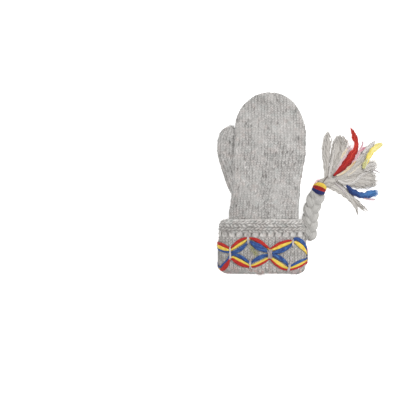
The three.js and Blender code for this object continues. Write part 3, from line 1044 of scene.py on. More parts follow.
BODY_WOOL = HeatherWithPaintedShadeFinish("body_wool", (0.47, 0.455, 0.44), (0.49, 0.45, 0.43), (0.43, 0.44, 0.425))
CUFF_WOOL = HeatherWithPaintedShadeFinish("cuff_wool", (0.47, 0.45, 0.43), (0.49, 0.445, 0.42), (0.42, 0.435, 0.42))
PLAIT_WOOL = RovingFinish("plait_wool", (0.41, 0.4, 0.38), (0.54, 0.53, 0.51), (0.28, 0.27, 0.255))
TASSEL_WOOL = RovingFinish("tassel_wool", (0.47, 0.445, 0.415), (0.62, 0.6, 0.57), (0.34, 0.315, 0.285))
PALE_WOOL = RovingFinish("pale_wool", (0.6, 0.575, 0.55), (0.7, 0.68, 0.66), (0.48, 0.455, 0.43))
COUCHING_WOOL = RovingFinish("couching_wool", (0.44, 0.4, 0.4), (0.58, 0.54, 0.54), (0.28, 0.23, 0.24))
DARK_THREAD = RovingFinish("dark_thread", (0.06, 0.035, 0.03), (0.1, 0.06, 0.05), (0.03, 0.02, 0.02))
RED_YARN = RovingFinish("red_yarn", (0.37, 0.018, 0.015), (0.62, 0.06, 0.04), (0.2, 0.011, 0.013))
YELLOW_YARN = RovingFinish("yellow_yarn", (0.67, 0.48, 0.06), (0.78, 0.7, 0.22), (0.56, 0.28, 0.04))
LEMON_YARN = RovingFinish("lemon_yarn", (0.74, 0.62, 0.13), (0.78, 0.73, 0.38), (0.68, 0.46, 0.05))
BLUE_YARN = RovingFinish("blue_yarn", (0.026, 0.06, 0.205), (0.08, 0.23, 0.5), (0.013, 0.021, 0.1))
NAVY_YARN = RovingFinish("navy_yarn", (0.015, 0.022, 0.105), (0.04, 0.05, 0.18), (0.006, 0.008, 0.04))
PINK_WISP = RovingFinish("pink_wisp", (0.62, 0.42, 0.45), (0.72, 0.62, 0.63), (0.5, 0.13, 0.2))
CREAM_WISP = RovingFinish("cream_wisp", (0.66, 0.55, 0.38), (0.72, 0.67, 0.58), (0.62, 0.38, 0.14))
GREEN_WISP = RovingFinish("green_wisp", (0.54, 0.53, 0.28), (0.62, 0.62, 0.46), (0.5, 0.47, 0.12))
BROWN_WISP = RovingFinish("brown_wisp", (0.52, 0.4, 0.35), (0.64, 0.56, 0.52), (0.4, 0.28, 0.24))


class Palette:
    """All finishes of the mitten, built once."""

    def __init__(self) -> None:
        """Build the node groups and the materials."""
        heather_and_shade, roving = heather_and_painted_shade_group(), roving_group()
        self.body = BODY_WOOL.build(heather_and_shade)
        self.cuff = CUFF_WOOL.build(heather_and_shade)
        self.plait = PLAIT_WOOL.build(roving)
        self.tassel = TASSEL_WOOL.build(roving)
        self.pale = PALE_WOOL.build(roving)
        self.couching = COUCHING_WOOL.build(roving)
        self.thread = DARK_THREAD.build(roving)
        self.pink = PINK_WISP.build(roving)
        self.cream = CREAM_WISP.build(roving)
        self.green = GREEN_WISP.build(roving)
        self.brown = BROWN_WISP.build(roving)
        self.navy = NAVY_YARN.build(roving)
        self.lemon = LEMON_YARN.build(roving)
        self.tints = {
            Tint.RED: RED_YARN.build(roving),
            Tint.YELLOW: YELLOW_YARN.build(roving),
            Tint.BLUE: BLUE_YARN.build(roving),
        }

    def tint_slot(self, tint: Tint) -> str:
        """Name the record's slot of a tint."""
        return f"{tint.name.lower()}_yarn"


@dataclass
class Studio:
    """The pale floor, the soft light and the camera straight above."""

    centre: tuple[float, float] = (-97.15, -26.1)
    frame_width: float = 580.0
    lens: float = 85.0
    sensor: float = 36.0
    aim_height: float = 15.0
    floor_size: float = 6.0
    sky: float = 0.84
    lamp_power: float = 18.0
    glow: float = 0.6

    def place_camera(self) -> None:
        """Hang the camera so that the frame's width fits at the height that it aims at."""
        data = bpy.data.cameras.new("camera")
        data.lens = self.lens
        data.sensor_width = self.sensor
        camera = bpy.data.objects.new("camera", data)
        above = self.frame_width * self.lens / self.sensor
        camera.location = (self.centre[0] * MM, self.centre[1] * MM, (above + self.aim_height) * MM)
        bpy.context.scene.collection.objects.link(camera)
        bpy.context.scene.camera = camera

    def light(self) -> None:
        """Surround the mitten with an even pale sky and add one soft lamp above."""
        world = bpy.data.worlds.new("sky")
        world.use_nodes = True
        sky = world.node_tree.nodes["Background"]
        sky.inputs["Color"].default_value = (1, 1, 1, 1)
        sky.inputs["Strength"].default_value = self.sky
        bpy.context.scene.world = world
        lamp = bpy.data.lights.new("lamp", "AREA")
        lamp.shape = "DISK"
        lamp.size = 0.8
        lamp.energy = self.lamp_power
        holder = bpy.data.objects.new("lamp", lamp)
        holder.location = (0.75, 0.75, 1.45)
        aim = Vector((0.02, 0, 0)) - holder.location
        holder.rotation_euler = aim.to_track_quat("-Z", "Y").to_euler()
        bpy.context.scene.collection.objects.link(holder)

    def lay_floor(self) -> None:
        """Lay the floor just under the mitten: lit paper, which shows hardly any shadow."""
        half = self.floor_size / 2
        mesh = bpy.data.meshes.new("floor")
        corners = [(-half, -half, 0), (half, -half, 0), (half, half, 0), (-half, half, 0)]
        mesh.from_pydata(corners, [], [(0, 1, 2, 3)])
        floor = bpy.data.objects.new("floor", mesh)
        floor.location.z = -0.0002
        bpy.context.scene.collection.objects.link(floor)
        material, tree, shader = new_material("paper")
        inputs = {
            "Base Color": (0.9, 0.9, 0.9, 1),
            "Roughness": 1,
            "Specular IOR Level": 0,
            "Emission Color": (1, 1, 1, 1),
            "Emission Strength": self.glow,
        }
        tree.fill(shader, inputs)
        mesh.materials.append(material)
        floor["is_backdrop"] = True

    def build(self) -> None:
        """Set up everything that isn't the mitten."""
        self.place_camera()
        self.light()
        self.lay_floor()
        scene = bpy.context.scene
        scene.view_settings.view_transform = "Standard"
        scene.view_settings.look = "None"


@dataclass
class HazePatch:
    """Short loose hairs that stand off a surface."""

    count: int
    length: float = 4.5
    radius: float = 0.09
    lift: float = 0.35
    seed: int = 5

    def shell(self, points: Array, normals: Array) -> Shell:
        """Grow the hairs: each is a bent three-sided tube that thins out to its tip.

        A hair's centre line is its root plus its direction times the share of its length, plus a
        bend times the share squared. Directions are random in the surface, tilted outwards.

        Args:
            points: Places that hairs may grow from.
            normals: The surface's normals there.

        Returns:
            The hairs.
        """
        rng = np.random.default_rng(self.seed)
        pick = rng.integers(0, len(points), self.count)
        root, normal = points[pick], normals[pick]
        flat = rng.normal(size=(self.count, 3))
        flat = unit(flat - (flat * normal).sum(-1, keepdims=True) * normal)
        way = unit(flat + normal * self.lift * rng.uniform(0.1, 1.6, (self.count, 1)))
        length = self.length * rng.uniform(0.5, 1.4, (self.count, 1, 1))
        bend = unit(rng.normal(size=(self.count, 3)) + 0.4 * normal)[:, None] * length * 0.35
        share = np.linspace(0, 1, 4)[None, :, None]
        centres = root[:, None] + way[:, None] * length * share + bend * share**2
        centres[..., 2] = np.maximum(centres[..., 2], 0.25)
        along = way[:, None] + 2 * bend / length * share
        side = unit(np.cross(along, normal[:, None]))
        over = unit(np.cross(side, along))
        thin = self.radius * (1 - 0.7 * share)
        angle = np.arange(3) * TURN / 3
        rings = swept(centres, side, over, thin * np.cos(angle), thin * np.sin(angle))
        tone = np.broadcast_to(rng.uniform(0.35, 1, (self.count, 1, 1)), rings.shape[:3])
        ones = np.ones(rings.shape[:3])
        return grid_shell(rings, {"tone": tone, "relief": ones, "stain": 0 * ones})


@dataclass
class Hand:
    """The knitted tube of the hand, closed at the fingertips and open inside the cuff."""

    palette: Palette
    knit: Stockinette = Stockinette(wale=4.75, course=3.7, depth=1.6, notch=0.66, seed=11)
    half_wales: int = 24
    columns_per_wale: int = 6
    rows_per_course: int = 4
    fine_from: float = -62.0
    dome_start: float = 69.6
    dome_length: float = 61.0
    dome_close: float = 1.55
    tip_height: float = 8.5
    swell: float = 0.5
    nub: tuple[float, float] = (6.6, 129.4)

    def dome_rows(self, angle: Array, grow: float) -> dict[str, Array]:
        """Draw in the sections at the fingertips, by the cosine of an angle that grows to the tip.

        Args:
            angle: The angle, from 0 where the dome begins.
            grow: How far outside the hand's skin.

        Returns:
            The sections, already grown.
        """
        narrow = np.cos(angle)
        start = table_at(HAND_SECTIONS, np.array(self.dome_start))
        centre = (start["left"] + start["right"]) / 2
        half = ((start["right"] - start["left"]) / 2 + grow) * narrow
        tip = self.tip_height
        return {
            "y": self.dome_start + (self.dome_length + grow) * np.sin(angle),
            "left": centre - half,
            "right": centre + half,
            "under": tip - (tip + grow) * narrow**0.5,
            "top": tip + (start["top"] - tip + grow) * narrow**0.8,
            "tuck": start["tuck"] * narrow,
        }

    def tube_rows(self, y: Array) -> dict[str, Array]:
        """Look up the sections of the straight part.

        Args:
            y: Places along the mitten.

        Returns:
            The sections.
        """
        rows = table_at(HAND_SECTIONS, y)
        rows["under"] = np.maximum(rows["under"], 0)
        return rows

    def skin(self, tube_y: Array, dome_angles: Array, grow: float) -> tuple[Array, Array, Array]:
        """Draw the hand's skin with even columns on the back and on the palm.

        Args:
            tube_y: Rows of the straight part.
            dome_angles: Rows of the dome.
            grow: How far outside the skin.

        Returns:
            The grid, from the thumb side over the back, and the half rings' lengths.
        """
        tube, dome = self.tube_rows(tube_y), self.dome_rows(dome_angles, grow)
        halves = []
        lengths = []
        for start in (math.pi, 0.0):
            angles = np.linspace(start, start - math.pi, 181)[None]
            rings = np.vstack([section_ring(tube, angles, grow), section_ring(dome, angles)])
            lengths.append(ring_lengths(rings))
            halves.append(respace(rings, self.half_wales * self.columns_per_wale))
        return np.concatenate(halves, axis=1), lengths[0], lengths[1]

    def stitches(self, grid: Array, back: Array, palm: Array) -> tuple[Array, Array]:
        """Count the columns and stitches at each point of the outside.

        On the straight part a half ring has a fixed number of columns. In the dome the columns
        keep their width and run straight on, so that the ones at the sides are left out in turn.

        Args:
            grid: The outside's points.
            back: Lengths of the half rings over the back.
            palm: Lengths of the half rings over the palm.

        Returns:
            The place across the columns and the place up the columns.
        """
        width = self.half_wales * self.columns_per_wale
        share = np.arange(width) / width - 0.5
        in_dome = grid[:, 0, 1] > self.dome_start
        wales = []
        for lengths in (back, palm):
            at_start = lengths[~in_dome][-1]
            across = share[None] * np.where(in_dome, lengths / at_start, 1)[:, None]
            wales.append(self.half_wales * (across + 0.5))
        walked = walked_to(grid[:, width // 2])
        courses = np.broadcast_to(walked[:, None] / self.knit.course, grid.shape[:2])
        return np.concatenate(wales, axis=1), courses

    def outside(self) -> tuple[Array, dict[str, Array], Array]:
        """Work out the knitted outside, from inside the cuff to the gathered tip.

        The knit's height is flattened in felted patches and gives way to pleats round the tip, a
        cosine of the turn, where a bell curve adds a small nub.

        Returns:
            The grid, its values and its normals.
        """
        step = self.knit.course / self.rows_per_course
        hidden = np.linspace(HAND_END, self.fine_from, 12, endpoint=False)
        shown = np.arange(self.fine_from, self.dome_start, step)
        fine = np.linspace(0, self.dome_close, 400)
        start = table_at(HAND_SECTIONS, np.array(self.dome_start))
        half = (start["right"] - start["left"]) / 2
        outline = np.stack([half * np.cos(fine), self.dome_length * np.sin(fine)], -1)
        walked = walked_to(outline)
        count = int(walked[-1] / step)
        angles = np.interp(np.linspace(0, walked[-1], count), walked, fine)
        grid, back, palm = self.skin(np.concatenate([hidden, shown]), angles, 0)
        normals = -grid_normals(grid)
        wales, courses = self.stitches(grid, back, palm)
        wales = wales + 0.16 * ripple(grid, 38, 21) + 0.05 * ripple(grid, 9, 22)
        courses = courses + 0.35 * ripple(grid, 60, 23) + 0.12 * ripple(grid, 11, 24)
        relief, pick = self.knit.relief(wales, courses)
        tip = np.array([*self.nub, self.tip_height])
        from_tip = lengths_of(grid - tip)[..., 0]
        turn = np.arange(grid.shape[1]) / grid.shape[1] * TURN
        pleats = 0.5 + 0.35 * np.cos(11 * turn)[None] + 0.15 * ripple(grid, 5, 25)
        gathered = 1 - smoothstep(from_tip, 4, 15)
        relief = relief * (1 - gathered) + pleats * gathered
        felted = 0.62 + 0.42 * smoothstep(ripple(grid, 26, 26), -0.8, 0.7)
        relief = 0.79 + (relief - 0.79) * felted
        height = self.knit.depth * (relief - 0.75) + self.swell * ripple(grid, 45, 27)
        height = height + 2.4 * np.exp(-((from_tip / 3.0) ** 2))
        height = np.where(grid[..., 1] < self.fine_from, -0.4, height)
        lifted = grid + normals * height[..., None]
        lifted[..., 2] = np.maximum(lifted[..., 2], 0.05)
        tone = 0.5 + 0.11 * pick + 0.07 * ripple(grid, 26, 28) + 0.07 * ripple(grid, 7, 29)
        zeros = np.zeros(relief.shape)
        return lifted, {"relief": np.clip(relief, 0, 1), "tone": tone, "stain": zeros}, normals

    def inside(self) -> Array:
        """Work out the plain inner wall, from the open end to the fingertips."""
        tube = np.linspace(HAND_END, self.dome_start, 14)
        angles = np.linspace(0.1, self.dome_close, 9)
        grid, _, _ = self.skin(tube, angles, -HAND_WALL)
        return grid

    def build(self) -> bpy.types.Object:
        """Make the hand: inner wall from its tip down, round the open end, and up the outside.

        Returns:
            The piece.
        """
        outer, values, normals = self.outside()
        inner = self.inside()[::-1]
        grid = np.concatenate([inner, outer])
        rows = len(inner)
        joined = {}
        for name, given in values.items():
            plain = 0.6 if name != "stain" else 0.0
            joined[name] = np.concatenate([np.full((rows, grid.shape[1]), plain), given])[None]
        shell = grid_shell(grid[None], joined, uv_size=(230, 500))
        piece = make_piece("hand_knit", shell, self.palette.body, "body_wool", ["hand"])
        seen = outer[..., 1] > -55
        haze = HazePatch(3600, seed=31).shell(outer[seen], normals[seen])
        make_piece("hand_haze", haze, self.palette.body, "body_wool")
        return piece


@dataclass
class Thumb:
    """The thumb's knitted tube, from inside the palm to its blunt tip."""

    palette: Palette
    knit: Stockinette = Stockinette(wale=4.75, course=3.5, depth=1.25, seed=12)
    wales: int = 17
    columns_per_wale: int = 6
    rows: int = 132
    tip_from: float = 0.6
    bluntness: float = 2.8
    crowding: float = 1.7
    crease: tuple[float, float] = (-46.5, 5.5)
    crease_rise: float = 5.0
    puff: float = 1.0

    def skin(self) -> tuple[Array, Array]:
        """Sweep a flattened oval along the thumb's centre line, rounding off at the tip.

        Past the place where the tip begins, the oval shrinks as the square root of one minus a
        power of the share that is left.

        Returns:
            The grid and the share of the line at each ring.
        """
        line = Line([(s.x, s.y, s.half_height) for s in THUMB_SECTIONS])
        share = 1 - (1 - np.linspace(0, 0.9995, self.rows)) ** self.crowding
        knots = np.linspace(0, 1, len(THUMB_SECTIONS))
        wide = np.interp(share, knots, [s.half_width for s in THUMB_SECTIONS])
        high = np.interp(share, knots, [s.half_height for s in THUMB_SECTIONS]) * UNDERSIDE_BULGE
        rounding = np.maximum(0, (share - self.tip_from) / (1 - self.tip_from))
        narrow = np.sqrt(np.maximum(0, 1 - rounding**self.bluntness))
        angles = np.linspace(0, TURN, 181)
        across = (wide * narrow)[:, None] * np.cos(angles)
        rise = (high * narrow**0.8)[:, None] * np.sin(angles)
        rings = swept(*line.frames(share), across, rise)
        rings[..., 2] = np.maximum(rings[..., 2], 0.0)
        return respace(rings, self.wales * self.columns_per_wale), share

    def build(self) -> bpy.types.Object:
        """Make the thumb with its knit and its hair.

        The knit's height is put on along the normals, with a slight swelling. The top then rises
        beside the hand, by a bell curve of the distance from the crease, to meet it softly.

        Returns:
            The piece.
        """
        grid, share = self.skin()
        columns = grid.shape[1]
        normals = -grid_normals(grid)
        walked = walked_to(grid[:, columns // 4])
        courses = np.broadcast_to(walked[:, None] / self.knit.course, grid.shape[:2])
        wales = np.broadcast_to(np.arange(columns) / self.columns_per_wale, grid.shape[:2])
        wales = wales + 0.15 * ripple(grid, 30, 41)
        relief, pick = self.knit.relief(wales, courses + 0.3 * ripple(grid, 40, 42))
        fade = 1 - 0.8 * smoothstep(share, 0.93, 0.995)[:, None]
        relief = 0.6 + (relief - 0.6) * fade
        height = self.knit.depth * (relief - 0.75) + self.puff + 0.4 * ripple(grid, 35, 43)
        near, width = self.crease
        beside_hand = np.exp(-(((grid[..., 0] - near) / width) ** 2)) * np.maximum(0, normals[..., 2])
        grid = grid + normals * height[..., None]
        grid[..., 2] += self.crease_rise * beside_hand
        grid[..., 2] = np.maximum(grid[..., 2], 0.05)
        tone = 0.47 + 0.12 * pick + 0.08 * ripple(grid, 24, 44) + 0.08 * ripple(grid, 7, 45)
        values = {"relief": np.clip(relief, 0, 1)[None], "tone": tone[None], "stain": 0 * tone[None]}
        shell = grid_shell(grid[None], values, uv_size=(70, 110))
        piece = make_piece("thumb_knit", shell, self.palette.body, "body_wool", ["thumb"])
        seen = (grid[..., 1] > 8) & (grid[..., 0] < -46)
        haze = HazePatch(600, seed=46).shell(grid[seen], normals[seen])
        make_piece("thumb_haze", haze, self.palette.body, "body_wool")
        return piece


@dataclass
class Cuff:
    """The turned-up cuff with its thicker border, fold and inner layer."""

    palette: Palette
    knit: Stockinette = Stockinette(wale=5.2, course=3.9, depth=2.4, lean=0.85, notch=0.78, seed=13)
    wales: int = 54
    columns_per_wale: int = 8
    top: float = -53.6
    fold: float = -131.2
    fold_gap: float = 1.0
    fold_depth: float = 7.2
    bed: float = 3.2
    bed_from: float = -129.0
    bed_to: float = -74.0
    bed_edge: float = 3.0
    fine_step: float = 0.72
    border_from: float = -56.2
    border_to: float = -72.0
    ridge: float = 4.3
    purl: float = 5.9
    slant: float = 1.0
    eyelet_row: float = -75.4
    eyelet_pitch: float = 10.7
    plain_from: float = -78.5
    plain_to: float = -80.5
    slit_end: float = -121.0
    lip_rings: int = 9

    def bed_height(self, y: Array) -> Array:
        """Work out how high the underside is pressed in under the embroidery."""
        rise = smoothstep(y, self.bed_from, self.bed_from + self.bed_edge)
        return self.bed * (rise - smoothstep(y, self.bed_to - self.bed_edge, self.bed_to))

    def rings(self, depth: Array, y: Array, angles: Array) -> Array:
        """Draw rings of the cuff at some depth in from its outside.

        Args:
            depth: Depth of each ring.
            y: Place of each ring.
            angles: Angles from +X towards +Z, as rings x points.

        Returns:
            The rings.
        """
        rings = section_ring(table_at(CUFF_SECTIONS, y), angles, -depth)
        outside = np.maximum(rings[..., 2], self.bed_height(y)[:, None])
        rings[..., 2] = np.where(depth[:, None] > 0.01, rings[..., 2], outside)
        return rings

    def profile(self) -> tuple[Array, Array]:
        """Draw the profile: down the outside, round the fold, up inside, the slit, up to the lip.

        Returns:
            Depth in from the outside and place along the mitten, evenly fine where it shows.
        """
        layer = CUFF_WALL + self.fold_gap
        inner = layer + HAND_WALL
        bend, lip = inner / 2, CUFF_WALL / 2
        straight = np.arange(self.top - lip, self.fold + bend, -self.fine_step)
        half = np.linspace(0, math.pi, 22)
        slit = np.linspace(0, math.pi, 5)
        mouth = np.linspace(0, math.pi, 10)[1:-1]
        deep = np.linspace(self.slit_end, self.top - lip, 20)
        depth = [
            0 * straight,
            bend - bend * np.cos(half),
            [inner, layer],
            CUFF_WALL + self.fold_gap / 2 * (1 + np.cos(slit)),
            np.full(len(deep), CUFF_WALL),
            lip + lip * np.cos(mouth),
        ]
        y = [
            straight,
            self.fold + bend - bend * np.sin(half),
            [HAND_END - 0.3, HAND_END - 0.3],
            self.fold + self.fold_depth - self.fold_gap / 2 * np.sin(slit),
            deep,
            self.top - lip + lip * np.sin(mouth),
        ]
        return np.concatenate(depth), np.concatenate(y)

    def border_relief(self, around: Array, y: Array) -> Array:
        """Work out the border's rows of slanted stitches, which lean the other way in each row.

        Down from the edge the height is the root of a half sine for each row. Along a row it is a
        power of a sine's size, whose phase moves with the height in the row, so its creases slant.

        Args:
            around: Distance round the cuff.
            y: Place along the mitten.

        Returns:
            The height, from 0 to about 1.
        """
        down = (self.border_from - y) / self.ridge
        row = np.floor(down)
        part = down - row
        lean = np.where(row % 2 == 0, self.slant, -self.slant)
        phase = around / self.purl + lean * (part - 0.5) + 0.37 * row
        stroke = np.abs(np.sin(np.pi * phase))
        height = np.sin(np.pi * part) ** 0.5 * (0.1 + 0.9 * stroke**0.8)
        return np.where(down < 0, 0.75, height)

    def eyelet_relief(self, around: Array, y: Array) -> Array:
        """Work out the row of large oval stitches with a dark hole between each two.

        A stitch is the height of half an ellipsoid, and a hole is a bell curve taken off; the wool's colour
        darkens the holes further as painted shade.

        Args:
            around: Distance round the cuff.
            y: Place along the mitten.

        Returns:
            The height: about 1 on a stitch and a little below 0 in a hole.
        """
        turn = (around / self.eyelet_pitch + 0.28) % 1 - 0.5
        up = (y - self.eyelet_row) / 3.9
        oval = np.clip(1 - (turn / 0.44) ** 2 - up**2, 0, 1) ** 0.5
        beside = (np.abs(turn) - 0.5) * self.eyelet_pitch
        hole = np.exp(-((beside / 1.3) ** 2) - ((y - self.eyelet_row - 0.9) / 2.1) ** 2)
        return 0.42 + 0.62 * oval - 0.55 * hole

    def build(self) -> bpy.types.Object:
        """Make the cuff with its border, large stitches, knit and hair.

        Returns:
            The piece.
        """
        depth, y = self.profile()
        columns = self.wales * self.columns_per_wale
        angles = np.linspace(math.pi, -math.pi, 721)[None]
        fine = self.rings(depth, y, angles)
        grid = respace(fine, columns)
        normals = grid_normals(grid, wrap_rows=True)
        girth = float(ring_lengths(fine[:1])[0])
        share = np.broadcast_to(np.arange(columns) / columns, grid.shape[:2])
        around = share * girth
        walked = np.concatenate([[0], np.cumsum(np.hypot(np.diff(depth), np.diff(y)))])
        down = np.broadcast_to(walked[:, None], grid.shape[:2])
        high = np.broadcast_to(y[:, None], grid.shape[:2])
        wales = share * self.wales + 0.12 * ripple(grid, 40, 51)
        courses = -down / self.knit.course + 0.3 * ripple(grid, 50, 52)
        plain, pick = self.knit.relief(wales, courses)
        wobble = 0.8 * ripple(grid, 22, 53)
        fray = ripple(grid, 9, 59)
        border = self.border_relief(around + wobble + 0.9 * fray, high + 0.5 * wobble + 0.35 * fray)
        border = border * (0.92 + 0.2 * ripple(grid, 8, 60))
        eyelets = self.eyelet_relief(around + 0.6 * wobble, high + 0.3 * wobble)
        to_border = smoothstep(high, self.border_to - 0.8, self.border_to + 0.8)
        to_plain = 1 - smoothstep(high, self.plain_to, self.plain_from)
        relief = to_border * border + to_plain * plain + (1 - to_border - to_plain) * eyelets
        ring = np.arange(len(depth))
        on_lip = ring >= len(depth) - self.lip_rings
        outside = np.where(on_lip, 1 - depth / CUFF_WALL, 1 - smoothstep(depth, 7.5, 9.5))
        inner_legs = (ring > np.argmin(y)) & (depth > 0.98 * CUFF_WALL)
        mask = np.where(inner_legs & ~on_lip, 0, outside)[:, None]
        height = mask * (self.knit.depth * (relief - 0.7) + 0.5 * ripple(grid, 36, 54))
        grid = grid + normals * height[..., None]
        grid[..., 2] = np.maximum(grid[..., 2], 0.03)
        tone = 0.66 + 0.14 * pick + 0.08 * ripple(grid, 20, 55) + 0.08 * ripple(grid, 6, 56)
        # Painted light: the lower cuff is lightened towards its bottom edge, where the lamp's light falls
        # off; the border is lighter too.
        tone = tone + 0.1 * to_border + 0.18 * smoothstep(-high, 104, 122)
        tone = tone - 0.05 * (1 - to_border - to_plain)
        edge = 0.9 * smoothstep(-high, 112, 126) * smoothstep(ripple(grid, 12, 57), -0.4, 0.8)
        values = {"relief": np.clip(relief, 0, 1)[None], "tone": tone[None], "stain": edge[None]}
        shell = grid_shell(grid[None], values, poles=False, uv_size=(girth, 200))
        piece = make_piece("cuff_knit", shell, self.palette.cuff, "cuff_wool", ["cuff"])
        seen = np.broadcast_to((mask > 0.5) & (y[:, None] < self.top), grid.shape[:2])
        haze = HazePatch(1800, seed=58).shell(grid[seen], normals[seen])
        make_piece("cuff_haze", haze, self.palette.cuff, "cuff_wool")
        return piece


@dataclass
class Embroidery:
    """Two trios of thick yarn laid round the cuff in waves, held down by grey stitches."""

    palette: Palette
    cuff: Cuff
    stitches_from: float = 0.68
    lift: float = 0.5
    half_thickness: float = 1.3
    narrow: float = 1.0
    wide: float = 2.25
    spacing: float = 2.6
    swelling: float = 1.3
    rings: int = 420
    columns: int = 16
    fluff_x: tuple[float, float] = (-68.5, 55)
    fluff_y: tuple[float, float] = (-131, -60)

    def __post_init__(self) -> None:
        """Measure the cuff along the first row of stitches, to walk round it by share."""
        angles = np.linspace(math.pi, -math.pi, 721)
        ring = self.ring_points(np.full(721, STITCH_ROWS[0].upper), angles)
        self._walked = walked_to(ring)
        self._angles = angles
        self.girth = float(self._walked[-1])

    def ring_points(self, y: Array, angles: Array) -> Array:
        """Find points on the outside of the cuff.

        Args:
            y: Places along the mitten.
            angles: An angle for each.

        Returns:
            The points.
        """
        flat_y, flat_angles = np.ravel(y), np.ravel(angles)
        points = self.cuff.rings(np.zeros(flat_y.size), flat_y, flat_angles[:, None])
        return points[:, 0].reshape(*np.shape(y), 3)

    def lifted(self, share: Array, y: Array, lift: Array) -> tuple[Array, Array]:
        """Find points above the cuff's smooth outside, with the outward direction.

        The knit stands out from that smooth surface, so a yarn laid close to it sinks into the knit.

        Args:
            share: Shares of the way round, from the thumb side over the back.
            y: Places along the mitten.
            lift: How far above.

        Returns:
            The points and the outward directions.
        """
        angle = np.interp((share % 1) * self.girth, self._walked, self._angles)
        across = self.ring_points(y, angle - 0.02) - self.ring_points(y, angle + 0.02)
        up = unit(np.stack([-across[..., 2], 0 * across[..., 0], across[..., 0]], -1))
        return self.ring_points(y, angle) + up * lift[..., None], up

    def pose(self, wave: Wave, tint: Tint, step: Array) -> tuple[Array, Array, Array]:
        """Blend a yarn's lane, width and lift over the arcs, changing at the stitches.

        Args:
            wave: The trio.
            tint: The yarn.
            step: Place round the cuff, counted in arcs.

        Returns:
            Lane, width and lift.
        """
        count = len(STITCH_ROWS)
        usual = YarnPose(float(tint.value), 1.0, 0.0)
        poses = np.array(
            [ARC_POSES.get((wave, i), {}).get(tint, usual) for i in range(count)], float
        )
        index = np.floor(step).astype(int) % count
        part = step - np.floor(step)
        before, after = poses[(index - 1) % count], poses[(index + 1) % count]
        entering = 0.5 + 0.5 * smoothstep(part, 0, 0.16)[..., None]
        leaving = 0.5 + 0.5 * smoothstep(1 - part, 0, 0.16)[..., None]
        blended = poses[index] * entering + before * (1 - entering)
        blended = blended * leaving + after * (1 - leaving)
        return blended[..., 0], blended[..., 1], blended[..., 2]

    def place(self, wave: Wave, tint: Tint, t: Array) -> tuple[Array, Array, Array, Array]:
        """Find where a yarn lies: drawn together at each stitch, and fanned out between.

        From one stitch to the next the outermost lane climbs as a quarter sine, the innermost as
        one minus a quarter cosine, and a lane between them in proportion.

        Args:
            wave: The trio.
            tint: The yarn.
            t: Shares of the way round, from the first stitch row.

        Returns:
            Share round the cuff, place along the mitten, half width and lift.
        """
        count = len(STITCH_ROWS)
        step = np.minimum(t * count, count - 1e-6)
        index = np.floor(step).astype(int)
        part = step - index
        leaving = index % 2 == 0
        table = np.asarray(STITCH_ROWS)
        column = 0 if wave is Wave.UPPER else 1
        apart_at = (index + np.where(leaving, 1, 0)) % count
        meeting = table[(index + np.where(leaving, 0, 1)) % count, column]
        apart, further = table[apart_at, column], table[apart_at, column + 2]
        low = meeting + wave.value * 1.5 * self.spacing
        onward = np.where(leaving, part, 1 - part)
        quarter = math.pi / 2 * onward
        fan = np.sin(np.pi * part)
        lane, width, extra = self.pose(wave, tint, step)
        bow = (lane + 1) / 2
        base = self.narrow + (self.wide - self.narrow) * fan**self.swelling
        reached = (1 - np.cos(quarter)) * (1 - bow) + np.sin(quarter) * bow
        climb = (np.sin(quarter) * (1 - bow) + np.cos(quarter) * bow) * math.pi / 2
        rise = (apart - low) * climb * np.where(leaving, 1, -1)
        slope = np.arctan(rise / (self.girth / count)) * fan
        aside = wave.value * lane * self.spacing
        share = self.stitches_from + t + (further * onward - aside * np.sin(slope)) / self.girth
        y = low + (apart - low) * reached + aside * np.cos(slope)
        half = base * (1 + (width - 1) * fan)
        return share, y, half, extra * fan

    def yarn(self, wave: Wave, tint: Tint, seed: int) -> Shell:
        """Sweep one soft yarn along its arcs, with shallow grooves between its fibres.

        Args:
            wave: The trio.
            tint: The yarn.
            seed: Fixes the random numbers.

        Returns:
            The yarn's surface.
        """
        t = np.linspace(0.003, 0.997, self.rings)
        share, y, half, extra = self.place(wave, tint, t)
        lift = self.lift + self.half_thickness + extra
        centre, up = self.lifted(share, y, lift)
        side = unit(np.cross(np.gradient(centre, axis=0), up))
        angle = (np.arange(self.columns) / self.columns * TURN)[None]
        walk = (t * self.girth)[:, None] + 0 * angle
        spots = np.stack([3 * np.cos(angle) + 0 * walk, 3 * np.sin(angle) + 0 * walk, walk / 4], -1)
        groove = 1 + 0.07 * ripple(spots, 2.4, seed) + 0.03 * ripple(spots * [1, 1, 4], 2.4, seed + 1)
        rounded = np.sign(np.cos(angle)) * np.abs(np.cos(angle)) ** 0.85
        thick = self.half_thickness * (1.1 - 0.25 * np.sin(np.pi * ((t * len(STITCH_ROWS)) % 1)))[:, None]
        across, rise = half[:, None] * rounded * groove, thick * np.sin(angle) * groove
        rings = swept(centre, side, up, across, rise)
        rings[..., 2] = np.maximum(rings[..., 2], 0.1)
        tone = 0.5 + 0.25 * ripple(spots * [1, 1, 2], 3, seed + 2)
        return grid_shell(rings[None], {"tone": tone[None]}, uv_size=(9, float(self.girth)))

